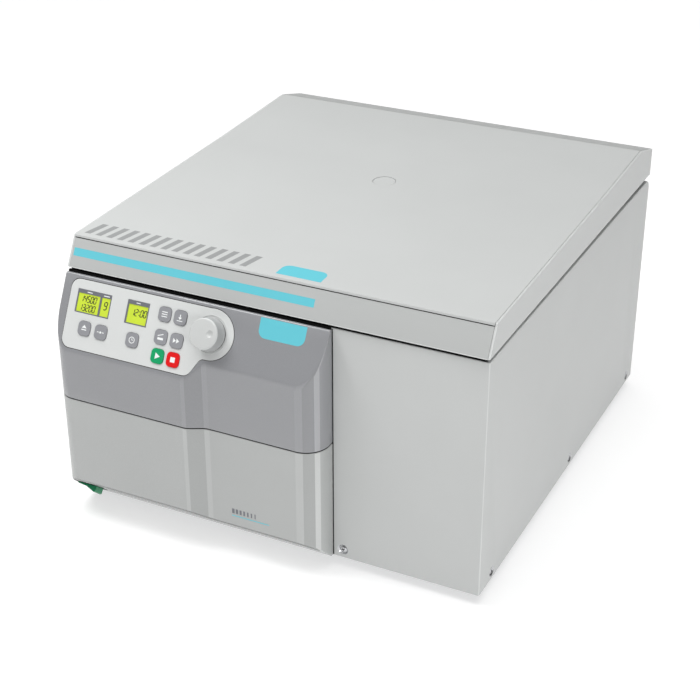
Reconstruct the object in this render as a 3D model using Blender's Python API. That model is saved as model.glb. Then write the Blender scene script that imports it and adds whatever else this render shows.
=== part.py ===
"""Laboratory bench centrifuge with a four-place swing-out rotor, as separate solid pieces.

Metres, +Z up.  The front, with the controls, faces -Y.  The origin is on the table, under the
middle of the bounding box.
"""

import math

import bmesh
import bpy
from mathutils import Matrix, Vector

MM = 0.001

# Casing
WIDTH = 570 * MM
CASE_DEPTH = 625 * MM
CASE_HEIGHT = 322 * MM
FASCIA_PROUD = 50 * MM
FOOT_HEIGHT = 15 * MM
SHEET = 1.5 * MM
DECK_SHEET = 2 * MM
REAR_BEND = 12 * MM
GAP = 0.3 * MM

SIDE_X = WIDTH / 2
INSIDE_X = SIDE_X - SHEET - GAP
REAR_Y = (CASE_DEPTH + FASCIA_PROUD) / 2
FRONT_Y = REAR_Y - CASE_DEPTH
INSIDE_FRONT_Y = FRONT_Y + SHEET + GAP
INSIDE_REAR_Y = REAR_Y - SHEET - GAP
BASE_Z = FOOT_HEIGHT
DECK_Z = BASE_Z + CASE_HEIGHT
UNDER_DECK_Z = DECK_Z - DECK_SHEET - GAP
FOOT_X = 225 * MM
FOOT_INSET = 60 * MM
FOOT_RADIUS = 16 * MM

# Moulded front cover: a dark upper half with the sloping control face, a light lower half
SEAM_Z = BASE_Z + 165 * MM
FASCIA_TOP_Z = BASE_Z + 320.5 * MM
FASCIA_WALL = 3 * MM
STEP_PROUD = 39 * MM
FASCIA_RIGHT_X = 86.9 * MM
STEP_LEFT_X = -96 * MM
STEP_RIGHT_X = -64 * MM
FASCIA_LEFT_RADIUS = 23 * MM
FASCIA_RIGHT_RADIUS = 31 * MM
PANEL_FOOT_Z = BASE_Z + 254.3 * MM
PANEL_SLOPE = math.radians(62.97)
BEVEL_START_Y = FRONT_Y - 4 * MM
BEVEL_SLOPE = math.radians(41.7)

# Controls, measured on the sloping face: x across, s up the slope
PLATE_LEFT = -273 * MM
PLATE_TOP = 69.6 * MM
PLATE_BOTTOM = -18 * MM
PLATE_CORNER = 12 * MM
PLATE_PROUD = 0.6 * MM
PLATE_THICKNESS = 2.4 * MM
KNOB_X = -66 * MM
KNOB_S = 38.5 * MM
KNOB_RADIUS = 21 * MM
KNOB_HEIGHT = 20 * MM
KNOB_RING = 31.5 * MM
KEY_SIZE = (17.5 * MM, 18 * MM)
KEY_CORNER = 5 * MM
KEY_PROUD = 1.4 * MM
KEY_CENTRES = {
    "key_speed": (-242.4 * MM, 9.7 * MM),
    "key_rcf": (-217.9 * MM, 9.6 * MM),
    "key_time": (-171.5 * MM, 9.6 * MM),
    "key_program": (-132.8 * MM, 49.8 * MM),
    "key_store": (-110.7 * MM, 49.9 * MM),
    "key_lid": (-132.4 * MM, 21.5 * MM),
    "key_short_run": (-109.9 * MM, 21.2 * MM),
    "key_start": (-132.0 * MM, -2.2 * MM),
    "key_stop": (-109.8 * MM, -2.3 * MM),
}
LCD_SPEED_SPAN = (-262 * MM, 28 * MM, -212 * MM, 57.5 * MM)
LCD_TIME_SPAN = (-188 * MM, 28.5 * MM, -156.5 * MM, 58 * MM)

# Mains switch, on the bevel under the lower cover
SWITCH_X = -258 * MM
SWITCH_UP_SLOPE = 38 * MM
SWITCH_SIZE = (38 * MM, 26 * MM)
ROCKER_SIZE = (30 * MM, 18 * MM)

# Lid, side profile as (back from the casing front, up from the casing underside)
LID_PROFILE = (
    (-3 * MM, 326.7 * MM),
    (17.4 * MM, 364.4 * MM),
    (388 * MM, 375.6 * MM),
    (566.7 * MM, 383.8 * MM),
    (625 * MM, 368.4 * MM),
    (625 * MM, 328.4 * MM),
)
LID_FRONT_LEAN = 0.54
LID_SHEET = 1.6 * MM
LINER_Z = BASE_Z + 326.5 * MM
LINER_THICKNESS = 3 * MM
LINER_WAIST_Y = FRONT_Y + 528 * MM
LINER_WAIST_X = 222 * MM
LINER_REAR_Y = FRONT_Y + 580 * MM
HINGE_Y = FRONT_Y + 617 * MM
HINGE_Z = BASE_Z + 345 * MM
HINGE_X = 215 * MM
HINGE_WIDTH = 16 * MM
PORT_RADIUS = 15.3 * MM

# Lid lock
LOCK_Y = FRONT_Y + 46 * MM
LOCK_Z = BASE_Z + 268 * MM
LOCK_X = 160 * MM
LOCK_OPEN_ANGLE = math.radians(20)
STRIKER_Y = FRONT_Y + 40 * MM

# Gas struts
STRUT_X = 245 * MM
STRUT_FOOT = (FRONT_Y + 545 * MM, BASE_Z + 100 * MM)
STRUT_HEAD = (FRONT_Y + 585 * MM, BASE_Z + 350 * MM)
STRUT_SLOT_Y = (FRONT_Y + 570 * MM, FRONT_Y + 607 * MM)
STRUT_BARREL = 165 * MM
STRUT_HEAD_RADIUS = 7 * MM
STRUT_HEAD_WIDTH = 12 * MM
LEAF_THICKNESS = 4 * MM

# Rotor chamber and drive
ROTOR_Y = FRONT_Y + 329 * MM
BOWL_RADIUS = 208.5 * MM
BOWL_WALL = 1.5 * MM
BOWL_FLOOR_Z = BASE_Z + 130 * MM
BOWL_CORNER = 28 * MM
CHAMBER_HOLE = 212.5 * MM
MOTOR_RADIUS = 62 * MM
MOTOR_TOP = 112 * MM
MOTOR_FLANGE = 92 * MM
MOTOR_FLANGE_Z = 60 * MM
MOUNT_CIRCLE = 78 * MM
SHAFT_RADIUS = 8 * MM
PIVOT_Z = BASE_Z + 245 * MM
PIVOT_RADIUS = 95 * MM
YOKE_TOP_Z = BASE_Z + 262 * MM
YOKE_DEPTH = 34 * MM
YOKE_HALF = 112 * MM
YOKE_CHAMFER = 39 * MM
SLOT_HALF = 49.2 * MM
SLOT_RADIUS = 51 * MM
BUCKET_RADIUS = 43.5 * MM
BUCKET_WALL = 3 * MM
BUCKET_TOP = 17 * MM
BUCKET_BOTTOM = -90 * MM

# Cooling fan and mains inlet, in the rear panel
FAN_X = -150 * MM
FAN_Z = BASE_Z + 85 * MM
FAN_HALF = 46 * MM
FAN_RADIUS = 43 * MM
FAN_DEPTH = 25 * MM
INLET_X = 190 * MM
INLET_Z = BASE_Z + 60 * MM
INLET_SIZE = (27.4 * MM, 19.8 * MM)
INLET_DEPTH = 30 * MM

# Frames whose third axis is the direction of extrusion or of turning
PLAN = Matrix.Identity(4)
SIDEWAYS = Matrix(((0, 0, 1, 0), (1, 0, 0, 0), (0, 1, 0, 0), (0, 0, 0, 1)))
FRONTWARD = Matrix(((1, 0, 0, 0), (0, 0, -1, 0), (0, 1, 0, 0), (0, 0, 0, 1)))
PANEL = Matrix.Translation((0, FRONT_Y - STEP_PROUD, PANEL_FOOT_Z)) @ Matrix.Rotation(PANEL_SLOPE, 4, "X")
BEVEL = Matrix.Translation((0, BEVEL_START_Y, BASE_Z)) @ Matrix.Rotation(math.pi - BEVEL_SLOPE, 4, "X")

FINISHES = {
    "painted_steel": ((0.62, 0.63, 0.62), 0.42, 0.0),
    "galvanised_steel": ((0.55, 0.56, 0.57), 0.38, 1.0),
    "stainless_steel": ((0.62, 0.62, 0.61), 0.25, 1.0),
    "machined_steel": ((0.50, 0.50, 0.51), 0.30, 1.0),
    "anodised_aluminium": ((0.42, 0.44, 0.47), 0.35, 1.0),
    "dark_cover": ((0.33, 0.34, 0.36), 0.45, 0.0),
    "light_cover": ((0.46, 0.47, 0.46), 0.45, 0.0),
    "control_film": ((0.70, 0.71, 0.70), 0.35, 0.0),
    "liner_plastic": ((0.60, 0.61, 0.60), 0.50, 0.0),
    "knob_plastic": ((0.60, 0.61, 0.61), 0.35, 0.0),
    "key_grey": ((0.30, 0.30, 0.32), 0.45, 0.0),
    "key_green": ((0.03, 0.40, 0.17), 0.40, 0.0),
    "key_red": ((0.80, 0.02, 0.02), 0.40, 0.0),
    "lcd_glass": ((0.61, 0.75, 0.08), 0.20, 0.0),
    "switch_green": ((0.01, 0.23, 0.09), 0.30, 0.0),
    "black_plastic": ((0.02, 0.02, 0.02), 0.45, 0.0),
    "rubber": ((0.03, 0.03, 0.03), 0.80, 0.0),
    "port_acrylic": ((0.62, 0.64, 0.63), 0.10, 0.0),
    "circuit_board": ((0.02, 0.16, 0.06), 0.40, 0.0),
}


def finish(name):
    """The Principled material of one finish, made once."""
    existing = bpy.data.materials.get(name)
    if existing:
        return existing
    colour, roughness, metallic = FINISHES[name]
    made = bpy.data.materials.new(name)
    made.use_nodes = True
    shader = made.node_tree.nodes["Principled BSDF"]
    shader.inputs["Base Color"].default_value = (*colour, 1)
    shader.inputs["Roughness"].default_value = roughness
    shader.inputs["Metallic"].default_value = metallic
    return made


def pivot(name, location, frame=PLAN):
    """An empty that marks a joint's axis, for the pieces that move about it."""
    empty = bpy.data.objects.new(name, None)
    empty.matrix_world = Matrix.Translation(location) @ frame.to_3x3().to_4x4()
    empty.empty_display_size = 0.02
    bpy.context.scene.collection.objects.link(empty)
    return empty


def add_object(name, mesh, finish_name=None, parent=None, smooth=False):
    """Link a bmesh, drawn in world coordinates, as a named object, under its pivot if it has one."""
    data = bpy.data.meshes.new(name)
    if parent:
        mesh.transform(parent.matrix_world.inverted())
    mesh.to_mesh(data)
    mesh.free()
    obj = bpy.data.objects.new(name, data)
    bpy.context.scene.collection.objects.link(obj)
    if parent:
        obj.parent = parent
    if finish_name:
        data.materials.append(finish(finish_name))
    if smooth:
        data.shade_smooth()
        data.set_sharp_from_angle(angle=math.radians(35))
    return obj


def combine(target, mesh, operation, parent=None):
    """Cut a closed mesh out of an object, or add it to the object, with an exact Boolean."""
    tool = add_object(f"{target.name}.{operation.lower()}{len(target.modifiers)}", mesh, parent=parent)
    tool.hide_render = True
    tool.display_type = "WIRE"
    modifier = target.modifiers.new(operation.title(), "BOOLEAN")
    modifier.operation = operation
    modifier.solver = "EXACT"
    modifier.object = tool


def cut(target, mesh, parent=None):
    combine(target, mesh, "DIFFERENCE", parent)


def add(target, mesh, parent=None):
    combine(target, mesh, "UNION", parent)


def extruded(outline, low, high, frame=PLAN, holes=()):
    """A closed prism: a flat outline with holes, swept from low to high along the frame's third axis."""
    mesh = bmesh.new()
    for loop in (outline, *holes):
        points = [mesh.verts.new((u, v, low)) for u, v in loop]
        for here, there in zip(points, points[1:] + points[:1]):
            mesh.edges.new((here, there))
    bmesh.ops.triangle_fill(mesh, use_beauty=True, edges=mesh.edges[:])
    grown = bmesh.ops.extrude_face_region(mesh, geom=mesh.faces[:])
    raised = [item for item in grown["geom"] if isinstance(item, bmesh.types.BMVert)]
    bmesh.ops.translate(mesh, vec=(0, 0, high - low), verts=raised)
    bmesh.ops.recalc_face_normals(mesh, faces=mesh.faces[:])
    mesh.transform(frame)
    return mesh


def turned(profile, segments, frame=PLAN, ring=False):
    """A closed solid turned about the frame's third axis.

    The profile is (radius, height) from the axis back to the axis, or all round a ring's section.
    """
    mesh = bmesh.new()
    rows = []
    for radius, height in profile:
        if radius == 0:
            rows.append([mesh.verts.new((0, 0, height))] * segments)
            continue
        turns = [math.tau * step / segments for step in range(segments)]
        rows.append([mesh.verts.new((radius * math.cos(t), radius * math.sin(t), height)) for t in turns])
    pairs = list(zip(rows, rows[1:] + rows[:1]))
    for lower, upper in pairs if ring else pairs[:-1]:
        for step in range(segments):
            beside = (step + 1) % segments
            corners = dict.fromkeys((lower[step], lower[beside], upper[beside], upper[step]))
            if len(corners) > 2:
                mesh.faces.new(corners)
    bmesh.ops.recalc_face_normals(mesh, faces=mesh.faces[:])
    mesh.transform(frame)
    return mesh


def rectangle(left, bottom, right, top):
    return [(left, bottom), (right, bottom), (right, top), (left, top)]


def arc(centre, radius, start, end, steps):
    """Points on an arc from the start angle to the end angle, in degrees."""
    angles = [math.radians(start + (end - start) * step / steps) for step in range(steps + 1)]
    return [(centre[0] + radius * math.cos(a), centre[1] + radius * math.sin(a)) for a in angles]


def circle(centre, radius, segments):
    return arc(centre, radius, 0, 360, segments)[:-1]


def rounded_rectangle(left, bottom, right, top, radius, steps=3):
    return [
        *arc((right - radius, top - radius), radius, 0, 90, steps),
        *arc((left + radius, top - radius), radius, 90, 180, steps),
        *arc((left + radius, bottom + radius), radius, 180, 270, steps),
        *arc((right - radius, bottom + radius), radius, 270, 360, steps),
    ]


def inset(outline, distance):
    """A convex anticlockwise outline, with every edge moved inwards."""
    edges = []
    for here, there in zip(outline, outline[1:] + outline[:1]):
        along = (Vector(there) - Vector(here)).normalized()
        inward = Vector((-along.y, along.x))
        edges.append((Vector(here) + inward * distance, along))
    points = []
    for (before, before_along), (after, after_along) in zip(edges[-1:] + edges[:-1], edges):
        turn = before_along.cross(after_along)
        reach = (after - before).cross(after_along) / turn
        points.append(tuple(before + before_along * reach))
    return points


def merged(meshes):
    """Several closed meshes that don't touch, as one cutter or one addition."""
    result = bmesh.new()
    for mesh in meshes:
        data = bpy.data.meshes.new("merge")
        mesh.to_mesh(data)
        mesh.free()
        result.from_mesh(data)
        bpy.data.meshes.remove(data)
    return result


def block(low, high):
    return extruded(rectangle(low[0], low[1], high[0], high[1]), low[2], high[2])


def clear_scene():
    for item in list(bpy.data.objects):
        bpy.data.objects.remove(item, do_unlink=True)


# ---------------------------------------------------------------- casing


def make_base():
    vents = [
        rectangle(side * 150 * MM - 40 * MM, row * 14 * MM, side * 150 * MM + 40 * MM, row * 14 * MM + 5 * MM)
        for side in (-1, 1)
        for row in range(4)
    ]
    outline = rectangle(-INSIDE_X, INSIDE_FRONT_Y, INSIDE_X, INSIDE_REAR_Y)
    mesh = extruded(outline, BASE_Z, BASE_Z + DECK_SHEET, holes=vents)
    add_object("base_plate", mesh, "galvanised_steel")


def make_feet():
    profile = ((0, 0), (FOOT_RADIUS - 2 * MM, 0), (FOOT_RADIUS, 2 * MM), (FOOT_RADIUS - 2 * MM, BASE_Z - GAP),
               (0, BASE_Z - GAP))
    for row, y in (("front", FRONT_Y + FOOT_INSET), ("rear", REAR_Y - FOOT_INSET)):
        for side, x in (("left", -FOOT_X), ("right", FOOT_X)):
            foot = turned(profile, 20, Matrix.Translation((x, y, 0)))
            add_object(f"foot_{row}_{side}", foot, "rubber", smooth=True)


def make_front_panel():
    outline = rectangle(-INSIDE_X, BASE_Z, INSIDE_X, DECK_Z)
    wiring_window = rectangle(-262 * MM, BASE_Z + 225 * MM, -46 * MM, BASE_Z + 312 * MM)
    mesh = extruded(outline, -FRONT_Y - SHEET, -FRONT_Y, FRONTWARD, holes=[wiring_window])
    add_object("front_panel", mesh, "painted_steel")


def make_side_panels():
    bend = arc((REAR_Y - REAR_BEND, DECK_Z - REAR_BEND), REAR_BEND, 0, 90, 4)
    outline = [(FRONT_Y, BASE_Z), (REAR_Y, BASE_Z), *bend, (FRONT_Y, DECK_Z)]
    add_object("right_side_panel", extruded(outline, SIDE_X - SHEET, SIDE_X, SIDEWAYS), "painted_steel")
    add_object("left_side_panel", extruded(outline, -SIDE_X, SHEET - SIDE_X, SIDEWAYS), "painted_steel")


def make_deck():
    half_slot = 12 * MM
    slots = []
    for side in (-1, 1):
        x = side * LOCK_X
        wide = half_slot + 3 * MM
        slots.append(rectangle(x - wide, STRIKER_Y - 7 * MM, x + wide, STRIKER_Y + 6 * MM))
        x = side * STRUT_X
        slots.append(rectangle(x - half_slot, STRUT_SLOT_Y[0], x + half_slot, STRUT_SLOT_Y[1]))
    outline = rectangle(-INSIDE_X, INSIDE_FRONT_Y, INSIDE_X, REAR_Y - REAR_BEND - GAP)
    chamber = circle((0, ROTOR_Y), CHAMBER_HOLE, 48)
    mesh = extruded(outline, DECK_Z - DECK_SHEET, DECK_Z, holes=[chamber, *slots])
    add_object("top_deck", mesh, "painted_steel")


def make_rear_panel():
    centre = (REAR_Y - REAR_BEND, DECK_Z - REAR_BEND)
    outer = arc(centre, REAR_BEND, 0, 90, 4)
    inner = arc(centre, REAR_BEND - SHEET, 90, 0, 4)
    outline = [(REAR_Y - SHEET, BASE_Z), (REAR_Y, BASE_Z), *outer, *inner]
    panel = add_object("rear_panel", extruded(outline, -INSIDE_X, INSIDE_X, SIDEWAYS), "painted_steel")
    openings = []
    for row in range(6):
        low = FAN_Z - 36 * MM + row * 12 * MM
        openings.append(block((FAN_X - 45 * MM, REAR_Y - 5 * MM, low),
                              (FAN_X + 45 * MM, REAR_Y + 5 * MM, low + 6 * MM)))
    louvres = []
    for x in (-60 * MM, 0, 60 * MM):
        for row in range(4):
            low = BASE_Z + 220 * MM + row * 14 * MM
            high = low + 6 * MM
            louvres.append(block((x - 25 * MM, REAR_Y - 5 * MM, low), (x + 25 * MM, REAR_Y + 5 * MM, high)))
    half_width = INLET_SIZE[0] / 2 + GAP
    half_height = INLET_SIZE[1] / 2 + GAP
    inlet = block((INLET_X - half_width, REAR_Y - 5 * MM, INLET_Z - half_height),
                  (INLET_X + half_width, REAR_Y + 5 * MM, INLET_Z + half_height))
    cut(panel, merged([*openings, *louvres, inlet]))


# ---------------------------------------------------------------- moulded front cover


def fascia_plan(shrink):
    """The front cover seen from above: flat, an S-curve to the shallower step, and round corners."""
    proud_y = FRONT_Y - FASCIA_PROUD + shrink
    step_y = FRONT_Y - STEP_PROUD + shrink
    left_radius = FASCIA_LEFT_RADIUS - shrink
    right_radius = FASCIA_RIGHT_RADIUS - shrink
    left = (-SIDE_X + FASCIA_LEFT_RADIUS, proud_y + left_radius)
    right = (FASCIA_RIGHT_X - FASCIA_RIGHT_RADIUS, step_y + right_radius)
    curve = []
    for step in range(1, 6):
        part = step / 6
        ease = (1 - math.cos(math.pi * part)) / 2
        x = STEP_LEFT_X + (STEP_RIGHT_X - STEP_LEFT_X) * part
        curve.append((x, proud_y + (step_y - proud_y) * ease))
    back_y = FRONT_Y - GAP if shrink == 0 else FRONT_Y + 5 * MM
    return [
        (-SIDE_X + shrink, back_y),
        *arc(left, left_radius, 180, 270, 5),
        (STEP_LEFT_X, proud_y),
        *curve,
        (STEP_RIGHT_X, step_y),
        *arc(right, right_radius, 270, 360, 5),
        (FASCIA_RIGHT_X - shrink, back_y),
    ]


def sloping_cutter(frame, offset):
    """Everything in front of a sloping face: a slab standing on the face's plane."""
    return extruded(rectangle(-0.5, -0.3, 0.5, 0.3), offset, offset + 0.2, frame)


def hollow_out(cover, low, high, frame):
    """Leave a moulded wall: take out the inside of the plan curve, behind the sloping face."""
    hollow = add_object(f"{cover.name}_hollow", extruded(fascia_plan(FASCIA_WALL), low, high))
    hollow.hide_render = True
    hollow.display_type = "WIRE"
    cut(hollow, sloping_cutter(frame, -FASCIA_WALL))
    modifier = cover.modifiers.new("Hollow", "BOOLEAN")
    modifier.operation = "DIFFERENCE"
    modifier.solver = "EXACT"
    modifier.object = hollow


def make_upper_fascia():
    cover = add_object("upper_fascia", extruded(fascia_plan(0), SEAM_Z + GAP, FASCIA_TOP_Z), "dark_cover")
    cut(cover, sloping_cutter(PANEL, 0))
    hollow_out(cover, SEAM_Z - 5 * MM, FASCIA_TOP_Z - FASCIA_WALL, PANEL)
    cut(cover, extruded(plate_outline(GAP), PLATE_PROUD - PLATE_THICKNESS - GAP, 5 * MM, PANEL))
    cut(cover, extruded(rectangle(-265 * MM, -12 * MM, -98 * MM, 60 * MM), -10 * MM, 5 * MM, PANEL))
    cut(cover, extruded(circle((KNOB_X, KNOB_S), 8 * MM, 16), -10 * MM, 5 * MM, PANEL))


def make_lower_fascia():
    cover = add_object("lower_fascia", extruded(fascia_plan(0), BASE_Z, SEAM_Z - GAP), "light_cover")
    cut(cover, sloping_cutter(BEVEL, 0))
    hollow_out(cover, BASE_Z + 4 * MM, SEAM_Z + 5 * MM, BEVEL)
    half_width = SWITCH_SIZE[0] / 2 + GAP
    half_height = SWITCH_SIZE[1] / 2 + GAP
    niche = rectangle(SWITCH_X - half_width, SWITCH_UP_SLOPE - half_height,
                      SWITCH_X + half_width, SWITCH_UP_SLOPE + half_height)
    cut(cover, extruded(niche, -10 * MM, 5 * MM, BEVEL))


def plate_outline(grow):
    """The control plate: a rounded rectangle that swells into a ring round the knob."""
    corner = PLATE_CORNER
    left = PLATE_LEFT - grow
    top = PLATE_TOP + grow
    bottom = PLATE_BOTTOM - grow
    top_angle = math.degrees(math.asin((top - KNOB_S) / (KNOB_RING + grow)))
    return [
        *arc((left + corner, top - corner), corner, 90, 180, 4),
        *arc((left + corner, bottom + corner), corner, 180, 270, 4),
        *arc((-95 * MM, bottom + 13 * MM), 13 * MM, 270, 330, 3),
        *arc((-69 * MM, KNOB_S - KNOB_RING - grow - 7 * MM), 7 * MM, 150, 90, 2),
        *arc((KNOB_X, KNOB_S), KNOB_RING + grow, -88, 180 - top_angle, 16),
    ]


# ---------------------------------------------------------------- controls


def make_control_plate():
    holes = []
    for x, s in KEY_CENTRES.values():
        half_x = KEY_SIZE[0] / 2 + GAP
        half_s = KEY_SIZE[1] / 2 + GAP
        holes.append(rounded_rectangle(x - half_x, s - half_s, x + half_x, s + half_s, KEY_CORNER + GAP))
    for left, bottom, right, top in (LCD_SPEED_SPAN, LCD_TIME_SPAN):
        holes.append(rectangle(left - GAP, bottom - GAP, right + GAP, top + GAP))
    holes.append(circle((KNOB_X, KNOB_S), 4 * MM, 12))
    mesh = extruded(plate_outline(0), PLATE_PROUD - PLATE_THICKNESS, PLATE_PROUD, PANEL, holes)
    add_object("control_panel", mesh, "control_film")


def make_displays():
    for name, span in (("lcd_speed", LCD_SPEED_SPAN), ("lcd_time", LCD_TIME_SPAN)):
        mesh = extruded(rectangle(*span), -6 * MM, PLATE_PROUD + 0.2 * MM, PANEL)
        add_object(name, mesh, "lcd_glass")


def make_keys():
    finishes = {"key_start": "key_green", "key_stop": "key_red"}
    half_x = KEY_SIZE[0] / 2
    half_s = KEY_SIZE[1] / 2
    for name, (x, s) in KEY_CENTRES.items():
        travel = pivot(f"{name}_travel", PANEL @ Vector((x, s, 0)), PANEL)
        outline = rounded_rectangle(x - half_x, s - half_s, x + half_x, s + half_s, KEY_CORNER)
        mesh = extruded(outline, -2.6 * MM, PLATE_PROUD + KEY_PROUD, PANEL)
        add_object(name, mesh, finishes.get(name, "key_grey"), travel)


def make_knob():
    spindle = pivot("control_knob_spindle", PANEL @ Vector((KNOB_X, KNOB_S, 0)), PANEL)
    base = PLATE_PROUD + GAP
    profile = ((0, -8 * MM), (3 * MM, -8 * MM), (3 * MM, base), (KNOB_RADIUS, base), (KNOB_RADIUS, 5 * MM),
               (KNOB_RADIUS - 1.5 * MM, KNOB_HEIGHT - 2 * MM), (KNOB_RADIUS - 3.5 * MM, KNOB_HEIGHT),
               (0, KNOB_HEIGHT))
    on_panel = PANEL @ Matrix.Translation((KNOB_X, KNOB_S, 0))
    knob = add_object("control_knob", turned(profile, 32, on_panel), "knob_plastic", spindle, smooth=True)
    dimple = ((0, -3 * MM), (4 * MM, -2 * MM), (6.5 * MM, 2 * MM), (0, 2 * MM))
    place = on_panel @ Matrix.Translation((9 * MM, 1.5 * MM, KNOB_HEIGHT))
    cut(knob, turned(dimple, 16, place), spindle)


def make_control_board():
    """The board behind the plate, with the knob's encoder standing on it."""
    board = extruded(rectangle(-258 * MM, -9 * MM, -48 * MM, 57 * MM), -17.6 * MM, -16 * MM, PANEL)
    node = add_object("control_board", board, "circuit_board")
    encoder = extruded(circle((KNOB_X, KNOB_S), 8 * MM, 16), -17 * MM, -4 * MM, PANEL,
                       holes=[circle((KNOB_X, KNOB_S), 3.5 * MM, 12)])
    add(node, encoder)


def make_mains_switch():
    half_width = SWITCH_SIZE[0] / 2
    half_height = SWITCH_SIZE[1] / 2
    outline = rectangle(SWITCH_X - half_width, SWITCH_UP_SLOPE - half_height,
                        SWITCH_X + half_width, SWITCH_UP_SLOPE + half_height)
    swing_room = ROCKER_SIZE[0] / 2 + 1.6 * MM
    opening = rectangle(SWITCH_X - swing_room, SWITCH_UP_SLOPE - ROCKER_SIZE[1] / 2 - GAP,
                        SWITCH_X + swing_room, SWITCH_UP_SLOPE + ROCKER_SIZE[1] / 2 + GAP)
    body = extruded(outline, -16 * MM, 0.5 * MM, BEVEL)
    housing = add_object("power_switch_housing", body, "black_plastic")
    cut(housing, extruded(opening, -12 * MM, 5 * MM, BEVEL))
    axle = pivot("power_rocker_axle", BEVEL @ Vector((SWITCH_X, SWITCH_UP_SLOPE, -3 * MM)), BEVEL)
    half = ROCKER_SIZE[0] / 2
    profile = [(-half, -5.5 * MM), (0, -8 * MM), (half, -1 * MM), (half, 7.5 * MM), (half - 2 * MM, 8.5 * MM),
               (0, 3.5 * MM), (2 * MM - half, 2.2 * MM), (-half, 1 * MM)]
    across = BEVEL @ Matrix.Translation((SWITCH_X, SWITCH_UP_SLOPE, 0)) @ FRONTWARD
    rocker = extruded(profile, -ROCKER_SIZE[1] / 2, ROCKER_SIZE[1] / 2, across)
    add_object("power_rocker", rocker, "switch_green", axle)


# ---------------------------------------------------------------- chamber and drive


def make_chamber():
    centre = Matrix.Translation((0, ROTOR_Y, 0))
    corner = (BOWL_RADIUS - BOWL_CORNER, BOWL_FLOOR_Z + BOWL_WALL + BOWL_CORNER)
    inside = arc(corner, BOWL_CORNER, 270, 360, 3)
    outside = arc(corner, BOWL_CORNER + BOWL_WALL, 360, 270, 3)
    hole = 30 * MM
    rim = BOWL_RADIUS + 13 * MM
    profile = [(hole, BOWL_FLOOR_Z + BOWL_WALL), *inside, (BOWL_RADIUS, UNDER_DECK_Z), (rim, UNDER_DECK_Z),
               (rim, UNDER_DECK_Z - BOWL_WALL), (BOWL_RADIUS + BOWL_WALL, UNDER_DECK_Z - BOWL_WALL), *outside,
               (hole, BOWL_FLOOR_Z)]
    add_object("chamber_bowl", turned(profile, 48, centre, ring=True), "stainless_steel", smooth=True)
    seal = [(213 * MM, DECK_Z + GAP), (227 * MM, DECK_Z + GAP), (225 * MM, LINER_Z - GAP),
            (215 * MM, LINER_Z - GAP)]
    add_object("chamber_gasket", turned(seal, 48, centre, ring=True), "rubber", smooth=True)


def make_motor():
    centre = Matrix.Translation((0, ROTOR_Y, BASE_Z))
    bore = SHAFT_RADIUS + 0.5 * MM
    flange_top = MOTOR_FLANGE_Z + 6 * MM
    well = MOTOR_TOP - 14 * MM
    profile = ((0, 20 * MM), (MOTOR_RADIUS, 20 * MM), (MOTOR_RADIUS, MOTOR_FLANGE_Z),
               (MOTOR_FLANGE, MOTOR_FLANGE_Z), (MOTOR_FLANGE, flange_top), (MOTOR_RADIUS, flange_top),
               (MOTOR_RADIUS, MOTOR_TOP - 6 * MM), (30 * MM, MOTOR_TOP), (bore, MOTOR_TOP), (bore, well),
               (0, well))
    add_object("motor", turned(profile, 32, centre), "black_plastic", smooth=True)
    low = DECK_SHEET + GAP
    high = MOTOR_FLANGE_Z - GAP
    buffer = ((0, low), (13 * MM, low), (10 * MM, (low + high) / 2), (13 * MM, high), (0, high))
    for number in range(3):
        turn = math.radians(90 + 120 * number)
        place = centre @ Matrix.Translation((MOUNT_CIRCLE * math.cos(turn), MOUNT_CIRCLE * math.sin(turn), 0))
        add_object(f"motor_mount_{number + 1}", turned(buffer, 16, place), "rubber", smooth=True)


def make_rotor():
    spindle = pivot("rotor_spindle", (0, ROTOR_Y, 0))
    centre = Matrix.Translation((0, ROTOR_Y, BASE_Z))
    top = YOKE_TOP_Z - BASE_Z
    shaft = ((0, 100 * MM), (SHAFT_RADIUS, 100 * MM), (SHAFT_RADIUS, top - 4 * MM), (6 * MM, top - 4 * MM),
             (6 * MM, top + 10 * MM), (0, top + 10 * MM))
    add_object("drive_shaft", turned(shaft, 16, centre), "machined_steel", spindle, smooth=True)

    outline = []
    for quarter in range(4):
        turn = Matrix.Rotation(quarter * math.pi / 2, 2)
        reach = math.degrees(math.asin(SLOT_HALF / SLOT_RADIUS))
        slot_end = arc((PIVOT_RADIUS, 0), SLOT_RADIUS, 180 + reach, 180 - reach, 8)
        corner = [(YOKE_HALF, SLOT_HALF), (YOKE_HALF, YOKE_HALF - YOKE_CHAMFER),
                  (YOKE_HALF - YOKE_CHAMFER, YOKE_HALF), (SLOT_HALF, YOKE_HALF)]
        outline += [tuple(turn @ Vector(point)) for point in (*slot_end, *corner)]
    bore = circle((0, 0), SHAFT_RADIUS + GAP, 16)
    body = extruded(outline, top - YOKE_DEPTH, top, centre, holes=[bore])
    yoke = add_object("rotor_yoke", body, "anodised_aluminium", spindle)
    pins = []
    for quarter in range(4):
        turn = centre @ Matrix.Rotation(quarter * math.pi / 2, 4, "Z")
        pin = circle((PIVOT_RADIUS, PIVOT_Z - BASE_Z), 5 * MM, 12)
        for low, high in ((45.5 * MM, SLOT_HALF + 2 * MM), (-SLOT_HALF - 2 * MM, -45.5 * MM)):
            pins.append(extruded(pin, low, high, turn @ FRONTWARD))
    add(yoke, merged(pins), spindle)

    nut = ((0, top + 20 * MM), (11 * MM, top + 20 * MM), (14 * MM, top + 16 * MM), (14 * MM, top + GAP),
           (6 * MM + GAP, top + GAP), (6 * MM + GAP, top + 12 * MM), (0, top + 12 * MM))
    add_object("rotor_nut", turned(nut, 16, centre), "machined_steel", spindle, smooth=True)


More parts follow.
